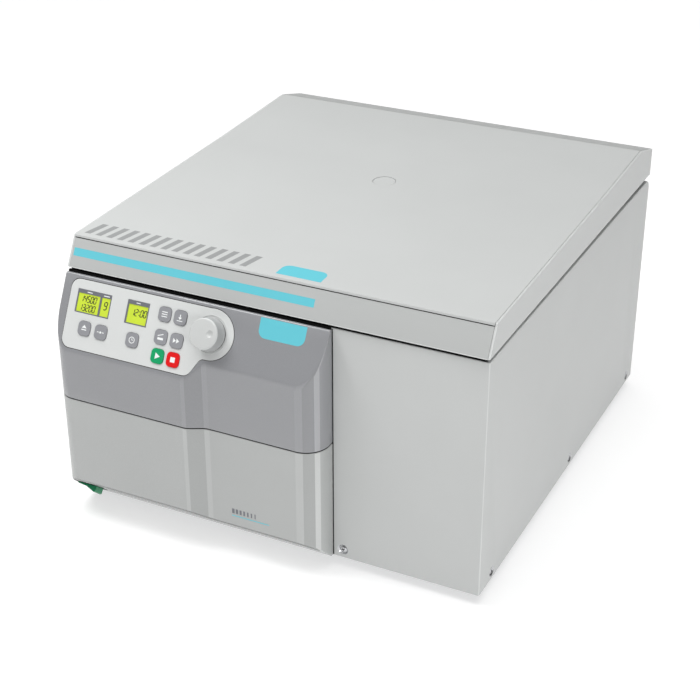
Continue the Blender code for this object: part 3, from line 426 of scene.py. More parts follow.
def refinish(node, surface, edge=0.0, segments=2):
    """Keep a CAD node's own shape, with a real surface and softened edges."""
    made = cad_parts[node]
    made.data.materials.clear()
    made.data.materials.append(surface)
    if edge:
        modifier = made.modifiers.new("Edges", "BEVEL")
        modifier.width = edge
        modifier.segments = segments
        modifier.limit_method = "ANGLE"
        modifier.angle_limit = math.radians(50)


# ---------------------------------------------------------------- casing


def build_casing():
    """One folded sheet round the front and both sides, with soft corners and rolled rims."""
    corner = 2.6 * MM
    thickness = 1.5 * MM
    roll = 1.1 * MM
    rear_bend = 12 * MM
    path = []
    rear_steps = 10
    for step in range(rear_steps + 1):
        turn = math.pi / 2 * step / rear_steps
        back = REAR_Y - rear_bend * (1 - math.sin(turn))
        path.append((-SIDE_X, back, (-1, 0), SIDE_TOP_Z - rear_bend * (1 - math.cos(turn))))
    path = path[::-1]
    path += [(-SIDE_X, y, (-1, 0), SIDE_TOP_Z) for y in (REAR_Y - 60 * MM, FRONT_Y + 60 * MM)]
    for step in range(9):
        turn = math.radians(180 + 90 * step / 8)
        normal = (math.cos(turn), math.sin(turn))
        x = -SIDE_X + corner + corner * normal[0]
        y = FRONT_Y + corner + corner * normal[1]
        path.append((x, y, normal, SIDE_TOP_Z + (DECK_Z - SIDE_TOP_Z) * step / 8))
    mirrored = [(-x, y, (-normal[0], normal[1]), top) for x, y, normal, top in reversed(path)]
    rings = []
    for x, y, normal, top in path + mirrored:
        section = [(thickness, BASE_Z), (roll, BASE_Z), (0.3 * roll, BASE_Z + 0.3 * roll), (0, BASE_Z + roll),
                   (0, top - roll), (0.3 * roll, top - 0.3 * roll), (roll, top), (thickness, top)]
        rings.append([(x - normal[0] * inward, y - normal[1] * inward, z) for inward, z in section])
    wrap = draw("casing_wrap", loft(rings))
    for _, place in screw_places():
        carve(wrap, lathe([(0, -3 * MM), (SCREW_CUP, -3 * MM), (SCREW_CUP, 2 * MM), (0, 2 * MM)], 48, place))
    dress(wrap, PAINT, "casing", "painted_steel", ("front_panel", "left_side_panel", "right_side_panel"),
          smooth=28)
    wrap.data.materials.append(PAINT_HIGHLIGHT_ON_FOLDS)
    # The casing's rounded front corners get the lighter paint, a painted highlight.
    for face in wrap.data.polygons:
        slanted = abs(face.normal.x) > 0.5 and abs(face.normal.y) > 0.5
        if slanted and face.center.y < FRONT_Y + corner and face.area > 1e-5:
            face.material_index = 1
    refinish("top_deck", PAINT)
    refinish("rear_panel", PAINT)
    refinish("base_plate", ZINC)
    for row in ("front", "rear"):
        for side in ("left", "right"):
            refinish(f"foot_{row}_{side}", RUBBER, 0.8 * MM)


def screw_places():
    """Where the casing screws sit: low on the front and on both sides, each frame's third axis outwards."""
    low_z = BASE_Z + 12 * MM
    point = Matrix.Translation((100.5 * MM, FRONT_Y, low_z))
    places = [("front", point @ Matrix.Rotation(math.pi / 2, 4, "X"))]
    for side, sign in (("left", -1), ("right", 1)):
        for number, back in enumerate((40.5, 335, 599)):
            point = Matrix.Translation((sign * SIDE_X, FRONT_Y + back * MM, low_z))
            places.append((f"{side}_{number + 1}", point @ Matrix.Rotation(sign * math.pi / 2, 4, "Y")))
    return places


def build_screws():
    """Cross-head screws sunk in pressed cups."""
    for name, place in screw_places():
        rim = SCREW_CUP / MM
        cup = [(rim, -2.9), (rim, -0.1), (rim - 0.5, -0.15), (6.2, -1.0), (5.2, -2.1), (0, -2.2), (0, -2.9)]
        piece(f"screw_cup_{name}", lathe(millimetres(cup), 48, place), STEEL, "casing", "machined_steel")
        head = [(0, -0.25), (2.0, -0.3), (3.6, -0.6), (4.5, -1.3), (4.6, -2.1), (0, -2.1)]
        screw = draw(f"screw_{name}", lathe(millimetres(head), 40, place))
        spin = place @ Matrix.Rotation(math.radians(25), 4, "Z")
        outline = []
        for quarter in range(4):
            around = Matrix.Rotation(quarter * math.pi / 2, 2)
            outline += [tuple(around @ Vector(point) * MM)
                        for point in ((2.6, -0.55), (2.6, 0.55), (0.55, 0.55))]
        carve(screw, prism(outline, -1.6 * MM, 1 * MM, spin))
        dress(screw, STEEL, "casing", "machined_steel")
        # Black at the foot of the cross recess: painted shadow.
        recess = prism(outline, -1.62 * MM, -1.45 * MM, spin)
        piece(f"screw_recess_shadow_{name}", recess, SHADOW, "casing", "machined_steel", smooth=0)


# ---------------------------------------------------------------- moulded front cover


def plan_curve(shrink):
    """The cover's outline from above, moved inwards, from the left rear round to the right rear."""

    def corner(centre, radius, start, steps):
        normals = arc((0, 0), 1, start, start + 90, steps)
        return [(centre[0] + radius * u, centre[1] + radius * v, (u, v)) for u, v in normals]

    left = (-SIDE_X + LEFT_RADIUS, FASCIA_Y + LEFT_RADIUS)
    step_y = FRONT_Y - STEP_PROUD
    right = (FASCIA_RIGHT_X - RIGHT_RADIUS, step_y + RIGHT_RADIUS)
    points = [(-SIDE_X, FRONT_Y - 0.3 * MM, (-1, 0)), (-SIDE_X, FRONT_Y - 14 * MM, (-1, 0))]
    points += corner(left, LEFT_RADIUS, 180, 16)
    points += [(x * MM, FASCIA_Y, (0, -1)) for x in (-240, -200, -160, -120, -102)]
    width = STEP_X[1] - STEP_X[0]
    rise = step_y - FASCIA_Y
    for step in range(25):
        part = step / 24
        slope = rise * math.pi / 2 * math.sin(math.pi * part) / width
        normal = Vector((slope, -1)).normalized()
        ease = (1 - math.cos(math.pi * part)) / 2
        points.append((STEP_X[0] + width * part, FASCIA_Y + rise * ease, tuple(normal)))
    points += [(x * MM, step_y, (0, -1)) for x in (-58, -30, 0, 30, 50)]
    points += corner(right, RIGHT_RADIUS, 270, 20)
    points.append((FASCIA_RIGHT_X, FRONT_Y - 0.3 * MM, (1, 0)))
    return [(x - normal[0] * shrink, y - normal[1] * shrink) for x, y, normal in points]


def soft_min(first, second, soft):
    """The lesser value, with a rounded change from one to the other."""
    near = max(soft - abs(first - second), 0) / soft
    return min(first, second) - near * near * soft / 4


def cover_skin(low, high, limit, crease_height, soft, inner_limit):
    """A moulded shell: vertical walls along the plan curve, trimmed by a sloping face, with rolled rims."""
    roll = 1.0 * MM
    rims = ((0, roll), (0.3 * roll, 0.3 * roll), (roll, 0))
    rings = []
    inner = plan_curve(COVER_WALL)
    shrunk = {shrink: plan_curve(shrink) for shrink in (0, 0.3 * roll, roll)}
    for index, (_, y) in enumerate(plan_curve(0)):
        middle = min(max(crease_height(FRONT_Y - y), low + 12 * MM), high - 12 * MM)
        heights = [low + roll + (middle - 6 * MM - low - roll) * step / 4 for step in range(1, 5)]
        heights += [middle + offset * MM for offset in (-4, -3, -2, -1.2, -0.6, 0, 0.6, 1.2, 2, 3, 4, 6)]
        heights += [middle + 6 * MM + (high - roll - middle - 6 * MM) * step / 4 for step in range(1, 4)]

        def on_skin(shrink, z):
            x, y = shrunk[shrink][index]
            return (x, FRONT_Y - soft_min(FRONT_Y - y, limit(z) - shrink, soft), z)

        ring = [on_skin(shrink, low + up) for shrink, up in reversed(rims)]
        ring += [on_skin(0, z) for z in heights]
        ring += [on_skin(shrink, high - down) for shrink, down in rims]
        x, y = inner[index]
        for z in (high, high - 8 * MM, middle + 8 * MM, middle, middle - 8 * MM, low):
            ring.append((x, FRONT_Y - max(0.4 * MM, soft_min(FRONT_Y - y, inner_limit(z), soft)), z))
        rings.append(ring)
    return loft(rings)


def slope_depth(z, thinner=0.0):
    """How far the sloping control face stands in front of the casing at a height."""
    return STEP_PROUD - (z - PANEL_FOOT_Z) / math.tan(PANEL_SLOPE) - thinner


def bevel_depth(z, thinner=0.0):
    """How far the bevelled foot stands in front of the casing at a height."""
    return BEVEL_START + (z - BASE_Z) / math.tan(BEVEL_SLOPE) - thinner


def key_hole(name, grow):
    """A key's opening in the control plate's plane."""
    corners = [PANEL.inverted() @ vertex.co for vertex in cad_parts[name].data.vertices]
    xs = [corner.x for corner in corners]
    ups = [corner.y for corner in corners]
    return rounded(min(xs) - grow, min(ups) - grow, max(xs) + grow, max(ups) + grow, 5 * MM + grow, 8)


def plate_outline(grow=0.0, steps=8):
    """The control plate: a rounded rectangle that swells into a ring round the knob."""
    corner = 12 * MM
    ring = 31.5 * MM + grow
    left = -273 * MM - grow
    top = 69.6 * MM + grow
    bottom = -18 * MM - grow
    knob = (-66 * MM, 38.5 * MM)
    top_angle = math.degrees(math.asin((top - knob[1]) / ring))
    return [
        *arc((left + corner, top - corner), corner, 90, 180, steps),
        *arc((left + corner, bottom + corner), corner, 180, 270, steps),
        *arc((-95 * MM, bottom + 13 * MM), 13 * MM, 270, 330, steps),
        *arc((-69 * MM, knob[1] - ring - 7 * MM), 7 * MM, 150, 90, steps),
        *arc(knob, ring, -88, 180 - top_angle, steps * 5),
    ]


def paint_light_on_bends(cover, surface):
    """Painted highlights and painted shade: fixed lighter and darker bands on the step and the round corner,
    and painted shade on the downward edge over the foot.
    """
    for made in COVER_PAINTED_LIGHT_BANDS[surface]:
        cover.data.materials.append(made)
    # Index 1 is a faint painted highlight, 2 painted shade, 3 a painted highlight, 4 painted shade over the
    # foot.
    soft, dim, bright, foot = 1, 2, 3, 4
    corner_x = FASCIA_RIGHT_X - RIGHT_RADIUS
    for face in cover.data.polygons:
        x, z, normal = face.center.x, face.center.z, face.normal
        turn = math.degrees(math.atan2(normal.x, -normal.y))
        downward = normal.z < -0.25 and normal.y < -0.3
        if surface is COVER_LIGHT and downward and z > BASE_Z + 20 * MM:
            face.material_index = foot
        elif abs(normal.z) > 0.35 or normal.y > -0.1:
            continue
        elif x > corner_x - 1 * MM and 2 < turn < 57:
            face.material_index = soft if turn < 16 else dim if turn < 43 else bright
        elif STEP_X[0] - 1 * MM < x < STEP_X[1] + 1 * MM:
            part = (x - STEP_X[0]) / (STEP_X[1] - STEP_X[0])
            face.material_index = dim if 0.15 < part < 0.8 else soft


def build_covers():
    slant_wall = COVER_WALL / math.sin(PANEL_SLOPE)
    upper = draw("upper_cover", cover_skin(
        SEAM_Z + SEAM_HALF, FASCIA_TOP_Z, slope_depth,
        lambda depth: PANEL_FOOT_Z + (STEP_PROUD - depth) * math.tan(PANEL_SLOPE),
        2.4 * MM, lambda z: slope_depth(z, slant_wall)))
    carve(upper, prism(plate_outline(0.8 * MM), PLATE_TOP - 2.6 * MM, 6 * MM, PANEL))
    carve(upper, merged([prism(key_hole(name, 0.8 * MM), -9 * MM, -1 * MM, PANEL) for name in key_marks()]))
    dress(upper, COVER_DARK, "casing", "dark_cover", ("upper_fascia",), smooth=30)
    paint_light_on_bends(upper, COVER_DARK)
    bevel_wall = COVER_WALL / math.sin(BEVEL_SLOPE)
    lower = draw("lower_cover", cover_skin(
        BASE_Z, SEAM_Z - SEAM_HALF, bevel_depth,
        lambda depth: BASE_Z + (depth - BEVEL_START) * math.tan(BEVEL_SLOPE),
        4 * MM, lambda z: bevel_depth(z, bevel_wall)))
    low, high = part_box("power_switch_housing")
    half_width = (high[0] - low[0]) / 2 + 0.4 * MM
    middle_x = (high[0] + low[0]) / 2
    carve(lower, prism(rectangle(middle_x - half_width, 24.6 * MM, middle_x + half_width, 51.4 * MM),
                       -12 * MM, 6 * MM, BEVEL))
    dress(lower, COVER_LIGHT, "casing", "light_cover", ("lower_fascia",), smooth=30)
    paint_light_on_bends(lower, COVER_LIGHT)


# ---------------------------------------------------------------- lid


def lid_profile(wall, lip):
    """The lid sheet's side view inset by its wall, from the front foot round to the rear foot."""
    corners = [LID_FRONT_FOOT, LID_FRONT_HEAD, LID_BEND, LID_CREST, LID_REAR_HEAD, LID_REAR_FOOT]
    points = [Vector(point) for point in corners]
    lines = []
    for here, there in zip(points, points[1:]):
        along = (there - here).normalized()
        outward = Vector((-along.y, along.x))
        lines.append((here - outward * wall, along, outward))
    joints = []
    for (first, along, _), (second, after, _) in zip(lines, lines[1:]):
        joints.append(first + along * ((second - first).cross(after) / along.cross(after)))
    first, along, outward_front = lines[0]
    last = lines[-1][0]
    foot = first + along * ((LID_FRONT_FOOT[1] - first.y) / along.y)
    rear_foot = Vector((last.x, LID_REAR_FOOT[1]))
    if lip:
        out, top_along = outward_front, lines[1][1]
        nose = joints[0] - top_along * (LIP_PROUD / -top_along.dot(out))
        under = joints[0] - along * LIP_HEIGHT + out * LIP_PROUD
        groove_foot = joints[0] - along * (LIP_HEIGHT + GROOVE)
        outline = [
            foot + along * 0.1 * MM - out * 0.6 * MM, foot + along * 0.5 * MM - out * 0.1 * MM,
            foot + along * 1.1 * MM, groove_foot, groove_foot - out * GROOVE,
            joints[0] - along * LIP_HEIGHT - out * GROOVE, under - out * 0.3 * MM, under + along * 0.3 * MM,
            *fillet(under, nose, joints[1], 1.5 * MM, 6)]
    else:
        outline = [foot, joints[0]]
    outline += [joints[1], *fillet(joints[1], joints[2], joints[3], 5 * MM, 4),
                *fillet(joints[2], joints[3], rear_foot, max(0.4, 2 - wall / MM) * MM, 4), rear_foot]
    return [(FRONT_Y + point[0], BASE_Z + point[1]) for point in outline]


def keep_creases(made, limit=0.4):
    """Flat sheet stretches stay flat: slight folds are marked sharp, while fine arcs stay smooth."""
    mesh = bmesh.new()
    mesh.from_mesh(made.data)
    for edge in mesh.edges:
        if len(edge.link_faces) == 2:
            big = min(face.calc_area() for face in edge.link_faces) > 0.004
            turn = math.degrees(edge.calc_face_angle(0))
            edge.smooth = not (turn > 30 or (big and turn > limit))
    mesh.to_mesh(made.data)
    mesh.free()


def build_lid():
    inner_x = SIDE_X - CHEEK
    outline = lid_profile(0, True) + lid_profile(LID_SHEET, False)[::-1]
    cover = draw("lid_cover", prism(outline, 0.15 * MM - inner_x, inner_x - 0.15 * MM, SIDEWAYS))
    port_slope = math.atan2(LID_BEND[1] - LID_FRONT_HEAD[1], LID_BEND[0] - LID_FRONT_HEAD[0])
    port_run = ROTOR_Y - FRONT_Y - LID_FRONT_HEAD[0]
    port_z = BASE_Z + LID_FRONT_HEAD[1] + port_run * math.tan(port_slope)
    port = Matrix.Translation((0, ROTOR_Y, port_z)) @ Matrix.Rotation(port_slope, 4, "X")
    carve(cover, prism(circle((0, 0), 15.8 * MM, 96), -8 * MM, 8 * MM, port))
    for side in (-1, 1):
        bracket_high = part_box("hinge_bracket_left" if side < 0 else "hinge_bracket_right")[1]
        middle = side * 215 * MM
        carve(cover, block((middle - 14 * MM, REAR_Y - 6 * MM, LID_LOW[2] - 6 * MM),
                           (middle + 14 * MM, REAR_Y + 6 * MM, bracket_high[2] + 4 * MM)))
        middle = side * 245 * MM
        carve(cover, block((middle - 8 * MM, REAR_Y - 6 * MM, LID_LOW[2] - 6 * MM),
                           (middle + 8 * MM, REAR_Y + 6 * MM, BASE_Z + 339 * MM)))
    dress(cover, PAINT, "lid", "painted_steel", ("lid_shell",), smooth=30)
    keep_creases(cover)
    cover.data.materials.append(PAINT_HIGHLIGHT_ON_FOLDS)
    cover.data.materials.append(PAINT_SHADE_ON_LIP)
    cover.data.materials.append(PAINT_SHADE_ON_REAR_SLOPE)
    for face in cover.data.polygons:
        # Index 1: a painted highlight along the lid front's bottom edge.
        if face.center.z < LID_LOW[2] + 1.2 * MM and face.center.y < FRONT_Y and face.normal.y < -0.3:
            face.material_index = 1
        # Index 2: painted shade on the lip's band.
        elif face.center.y < FRONT_Y + LID_FRONT_HEAD[0] + 1 * MM and 0.1 < face.normal.z < 0.97:
            face.material_index = 2
        # Index 3: painted shade on the rear slope.
        elif face.center.y > FRONT_Y + LID_CREST[0] and 0.1 < face.normal.y < 0.5 and face.normal.z > 0:
            face.material_index = 3
    # A black strip in the lip's groove: painted shadow.
    front_height = 42.87 * MM
    in_groove = LID_FRONT @ Matrix.Translation((0, front_height - LIP_HEIGHT - 0.95 * MM, 0))
    half = inner_x - 0.3 * MM
    shadow_strip = prism(rectangle(-half, 0, half, 0.8 * MM), -1.0 * MM, -0.25 * MM, in_groove)
    piece("lid_lip_shadow_strip", shadow_strip, SHADOW, "lid", "rubber", smooth=0)
    rear = LID_REAR_FOOT[0] - 0.1 * MM
    cheek = [(613 * MM, 329.6 * MM), (rear, LID_REAR_FOOT[1]), (rear, LID_REAR_HEAD[1]), LID_CREST, LID_BEND,
             LID_FRONT_HEAD, LID_FRONT_FOOT]
    outer = [(FRONT_Y + back, BASE_Z + up) for back, up in cheek]
    for side, low, high in (("left", -SIDE_X, -inner_x), ("right", inner_x, SIDE_X)):
        plate = draw(f"lid_cheek_{side}", prism(outer, low, high, SIDEWAYS))
        # The cheeks' bevelled edges take the lighter paint, a painted highlight.
        dress(plate, PAINT, "lid", "painted_steel", edge=1.1 * MM, segments=4, smooth=0, rim=PAINT_HIGHLIGHT_ON_FOLDS)
        plate.data.shade_smooth()
        keep_creases(plate)
    disc = millimetres([(0, -46), (15.2, -46), (15.2, -0.6), (14.9, -0.3), (0, -0.3)])
    piece("lid_port_disc", lathe(disc, 96, port), PAINT, "lid", "port_acrylic", ("lid_port_window",))


def build_lid_print():
    thin = 0.12 * MM
    stripe = prism(rectangle(-279.6 * MM, 15.6 * MM, 60.6 * MM, 25.8 * MM), 0, thin, LID_FRONT)
    piece("lid_stripe", stripe, PRINT_CYAN, "lid", "control_film", smooth=0)
    bars = []
    for number in range(15):
        left = (-274 + 16 * number) * MM
        right = left + 8.4 * MM
        lean = 7 * MM
        outline = [(left, 7 * MM), (right, 7 * MM), (right + lean, 38 * MM), (left + lean, 38 * MM)]
        bars.append(prism(outline, 0, thin, LID_TOP))
    piece("lid_bars", merged(bars), PRINT_GREY, "lid", "key_grey", smooth=0)
    tab = [(0, 6.6 * MM), (60 * MM, 6.6 * MM), *arc((50 * MM, 22 * MM), 10 * MM, 0, 90, 8),
           *arc((10 * MM, 22 * MM), 10 * MM, 90, 180, 8)]
    piece("lid_tab_mark", prism(tab, 0, thin, LID_TOP), PRINT_CYAN, "lid", "control_film", smooth=0)
    tab = [*arc((6 * MM, 58 * MM), 10 * MM, 180, 270, 8), *arc((48 * MM, 58 * MM), 10 * MM, 270, 360, 8),
           (58 * MM, 72.6 * MM), (-4 * MM, 72.6 * MM)]
    piece("cover_tab_mark", prism(tab, 0, thin, PANEL), PRINT_CYAN, "casing", "control_film", smooth=0)
    face = Matrix.Translation((0, FRONT_Y - STEP_PROUD, BASE_Z)) @ FRONTWARD
    line = prism(rectangle(-36.5 * MM, 46.6 * MM, 17 * MM, 47.8 * MM), 0, thin, face)
    piece("cover_line", line, PRINT_CYAN, "casing", "control_film", smooth=0)
    marks = []
    for number in range(7):
        x = (-36 + 5.4 * number) * MM
        marks.append(prism(rectangle(x, 50.6 * MM, x + (3.6 - 0.35 * number) * MM, 57.4 * MM), 0, thin, face))
    piece("cover_bars", merged(marks), BEZEL, "casing", "key_grey", smooth=0)


# ---------------------------------------------------------------- controls

SEGMENTS = {
    "0": "abcdef", "1": "bc", "2": "abged", "3": "abgcd", "4": "fgbc", "5": "afgcd", "9": "abcdfg",
}


def digit(figure, left, bottom, height, place, level):
    """One seven-segment figure."""
    width = height * 0.42
    stroke = height * 0.14
    half = height / 2
    bars = {
        "a": ((0, height), (width, height)), "g": ((0, half), (width, half)), "d": ((0, 0), (width, 0)),
        "f": ((0, half), (0, height)), "b": ((width, half), (width, height)),
        "e": ((0, 0), (0, half)), "c": ((width, 0), (width, half)),
    }
    shapes = []
    for name in SEGMENTS[figure]:
        start, end = (Vector(point) for point in bars[name])
        along = (end - start).normalized() * stroke * 0.5
        across = Vector((-along.y, along.x))
        near, far = start + along * 1.2, end - along * 1.2
        ends = (start + along * 0.2, near + across, far + across,
                end - along * 0.2, far - across, near - across)
        outline = [(left + p.x + p.y * 0.14, bottom + p.y) for p in ends]
        shapes.append(prism(outline[::-1], level, level + 0.08 * MM, place))
    return shapes


def build_displays():
    level = PLATE_TOP - 0.5 * MM
    displays = (
        ("speed", (-262, 28, -212, 57.5), ((-260.3, 29.3, -228.2, 52.6), (-225.4, 29.3, -213, 52.6)),
         (("14500", -256.5, 42.2, 8.0), ("13200", -256.5, 31.2, 8.0), ("9", -221.6, 38.0, 9.5))),
        ("time", (-188, 28.5, -156.5, 58), ((-185.8, 29.8, -157.6, 53),),
         (("12", -180.6, 39.6, 8.2), ("00", -168.0, 39.6, 8.2))),
    )
    for name, span, windows, figures in displays:
        left, bottom, right, top = (value * MM for value in span)
        holes = [rectangle(*(value * MM for value in window)) for window in windows]
        bezel = prism(rectangle(left, bottom, right, top), -3 * MM, PLATE_TOP + 0.15 * MM, PANEL, holes)
        piece(f"display_bezel_{name}", bezel, BEZEL, "casing", "lcd_glass", (f"lcd_{name}",), edge=0.15 * MM)
        shapes = []
        for text, x, s, height in figures:
            for number, figure in enumerate(text):
                shapes += digit(figure, (x + number * height * 0.6) * MM, s * MM, height * MM, PANEL, level)
        if name == "time":
            for s in (41.4, 45.6):
                dot = circle((-169.4 * MM, s * MM), 0.6 * MM, 10)
                shapes.append(prism(dot, level, level + 0.08 * MM, PANEL))
        piece(f"display_figures_{name}", merged(shapes), PRINT_BLACK, "casing", "lcd_glass", smooth=0)
        for number, window in enumerate(windows):
            x0, s0, x1, s1 = (value * MM for value in window)
            glass = prism(rectangle(x0 - 0.3 * MM, s0 - 0.3 * MM, x1 + 0.3 * MM, s1 + 0.3 * MM),
                          -2.6 * MM, level, PANEL)
            piece(f"display_glass_{name}_{number + 1}", glass, LCD, "casing", "lcd_glass", smooth=0)
    labels = [prism(rectangle(x * MM, s * MM, (x + w) * MM, (s + 1.1) * MM), PLATE_TOP + 0.15 * MM,
                    PLATE_TOP + 0.22 * MM, PANEL)
              for x, s, w in ((-248, 54.4, 7.5), (-223.5, 54.4, 8.5), (-175.5, 55.0, 6.0))]
    piece("display_labels", merged(labels), PRINT_WHITE, "casing", "control_film", smooth=0)


def key_marks():
    """Plain pictograms, as outlines about each key's middle, in millimetres."""
    ring = (circle((0, 0), 4.2, 28), [circle((0, 0), 3.3, 28)])
    return {
        "key_speed": [([(-3.6, 0.6), (3.6, 0.6), (0, 4.6)], []), (rectangle(-3.6, -2.2, 3.6, -0.9), [])],
        "key_rcf": [(circle((0, 0), 1.4, 16), []), (rectangle(-5, -0.5, -2.4, 0.5), []),
                    (rectangle(2.4, -0.5, 5, 0.5), [])],
        "key_time": [ring, (rectangle(-0.4, -0.3, 0.4, 2.6), []), (rectangle(0.4, -0.3, 2.2, 0.5), [])],
        "key_program": [(rectangle(-4, y, 4, y + 1.1), []) for y in (-3.4, -0.6, 2.2)],
        "key_store": [([(-2.6, 0.4), (0, -2.6), (2.6, 0.4)], []), (rectangle(-0.6, 0.4, 0.6, 3.8), []),
                      (rectangle(-4, -4.6, 4, -3.6), [])],
        "key_lid": [(rectangle(-4, -3.6, 4, -0.8), []),
                    ([(-4, 0.6), (3.8, 3.4), (3.4, 4.4), (-4.4, 1.6)], [])],
        "key_short_run": [([(-4.4, -3), (-0.4, 0), (-4.4, 3)], []), ([(0.2, -3), (4.2, 0), (0.2, 3)], [])],
        "key_start": [([(-2.8, -4), (4, 0), (-2.8, 4)], [])],
        "key_stop": [(rectangle(-3.2, -3.2, 3.2, 3.2), [])],
    }


def build_keys():
    marks = key_marks()
    surfaces = {"key_start": KEY_GREEN, "key_stop": KEY_RED}
    unpanel = PANEL.inverted()
    for name, shapes in marks.items():
        low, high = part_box(name)
        middle = unpanel @ ((Vector(low) + Vector(high)) / 2)
        corners = [unpanel @ vertex.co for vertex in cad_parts[name].data.vertices]
        top = max(corner.z for corner in corners)
        half_s = (max(corner.y for corner in corners) - min(corner.y for corner in corners)) / 2
        half_x = (high[0] - low[0]) / 2
        centre_s = (max(corner.y for corner in corners) + min(corner.y for corner in corners)) / 2
        place = PANEL @ Matrix.Translation((middle.x, centre_s, 0))
        outline = rounded(-half_x, -half_s, half_x, half_s, 5 * MM, 8)
        piece(f"cap_{name}", prism(outline, -2 * MM, top, place), surfaces.get(name, KEY_GREY), name,
              {"key_start": "key_green", "key_stop": "key_red"}.get(name, "key_grey"), (name,),
              edge=0.45 * MM, segments=3)
        flat = []
        for outline, holes in shapes:
            flat.append(prism(millimetres(outline), top, top + 0.06 * MM, place,
                              [millimetres(hole) for hole in holes]))
        piece(f"mark_{name}", merged(flat), PRINT_WHITE, name, "control_film", smooth=0)


def build_plate():
    holes = [key_hole(name, 0.3 * MM) for name in key_marks()]
    holes.append(rectangle(-262.2 * MM, 27.8 * MM, -211.8 * MM, 57.7 * MM))
    holes.append(rectangle(-188.2 * MM, 28.3 * MM, -156.3 * MM, 58.2 * MM))
    holes.append(circle((-66 * MM, 38.5 * MM), 5 * MM, 32))
    plate = prism(plate_outline(), PLATE_TOP - 2.2 * MM, PLATE_TOP, PANEL, holes)
    piece("keypad_plate", plate, FILM, "casing", "control_film", ("control_panel",), edge=0.35 * MM)


def build_painted_shadows():
    """Black strips as painted shadow: round the control plate, along the casing's top front edge, behind the
    cover, in the cover's right joint and in its seam.
    """
    shadow_strip = prism(plate_outline(0.75 * MM), -1.9 * MM, -0.35 * MM, PANEL, [plate_outline(0.05 * MM)])
    piece("plate_shadow_outline", shadow_strip, SHADOW, "casing", "black_plastic")
    high = BASE_Z + 325.8 * MM
    piece("front_shadow_strip", block((-281 * MM, FRONT_Y + 0.7 * MM, DECK_Z + 0.02 * MM),
                              (281 * MM, FRONT_Y + 7 * MM, high)),
          SHADOW, "casing", "rubber", edge=0.5 * MM)
    high = DECK_Z - 0.3 * MM
    piece("cover_shadow_strip", block((-283.4 * MM, FRONT_Y - 2.6 * MM, high - 3 * MM),
                              (86.2 * MM, FRONT_Y - 0.05 * MM, BASE_Z + 323.6 * MM)),
          SHADOW, "casing", "rubber", edge=0.4 * MM)
    joint = block((FASCIA_RIGHT_X - 0.6 * MM, FRONT_Y - 0.28 * MM, BASE_Z + 1 * MM),
                  (FASCIA_RIGHT_X + 1.2 * MM, FRONT_Y - 0.03 * MM, FASCIA_TOP_Z))
    piece("cover_joint_shadow", joint, SHADOW, "casing", "rubber", smooth=0)
    outer = plan_curve(0.7 * MM)
    inner = plan_curve(2.6 * MM)
    half = SEAM_HALF - 0.01 * MM
    piece("cover_seam_shadow", prism(outer + inner[::-1], SEAM_Z - half, SEAM_Z + half), SHADOW, "casing", "rubber")


def build_knob():
    place = PANEL @ Matrix.Translation((-66 * MM, 38.5 * MM, 0))
    foot = PLATE_TOP + 1.6 * MM
    top = 20 * MM
    rim = arc((17.2 * MM, top - 2.2 * MM), 2.2 * MM, 0, 90, 8)
    profile = [(0, -6 * MM), (3 * MM, -6 * MM), (3 * MM, foot), (20.4 * MM, foot),
               (20.9 * MM, foot + 0.5 * MM), *millimetres([(20.9, 4.2), (20.3, 4.8), (20.0, 5.4)]), *rim,
               (12 * MM, top + 0.2 * MM), (0, top + 0.25 * MM)]
    knob = draw("knob", lathe(profile, 128, place))
    dimple = millimetres([(0, -2.0), (2.2, -1.7), (4.0, -0.7), (5.2, 0.9), (0, 1.6)])
    carve(knob, lathe(dimple, 48, place @ Matrix.Translation((9 * MM, 1.5 * MM, top))))
    dress(knob, KNOB, "control_knob", "knob_plastic", ("control_knob",), smooth=24)
    knob.data.materials.append(KNOB_SIDE_SHADE)
    # The knob's side below the rim takes the darker grey, a painted shade.
    inward = place.inverted()
    for face in knob.data.polygons:
        middle = inward @ face.center
        if math.hypot(middle.x, middle.y) > 18.6 * MM and middle.z < top - 1.6 * MM:
            face.material_index = 1
    base = [(3 * MM, PLATE_TOP + 0.2 * MM), (20.6 * MM, PLATE_TOP + 0.2 * MM), (20.9 * MM, foot - 0.4 * MM),
            (19.9 * MM, foot - 0.02 * MM), (3 * MM, foot - 0.02 * MM)]
    piece("knob_base", lathe(base, 96, place, ring=True), BLACK, "control_knob", "black_plastic")
    low_ring = [(radius * MM, PLATE_TOP + up * MM)
                for radius, up in ((23.4, -0.4), (24.2, 0.25), (23.0, 0.4), (22.2, -0.2))]
    piece("knob_ring", lathe(low_ring, 96, place, ring=True), FILM, "casing", "control_film")


def build_switch():
    refinish("power_switch_housing", BLACK, 0.4 * MM)
    refinish("power_rocker", ROCKER, 0.5 * MM, 3)


# ---------------------------------------------------------------- inside and rear


TRUNNION_RADIUS = 95 * MM
TRUNNION_Z = BASE_Z + 245 * MM


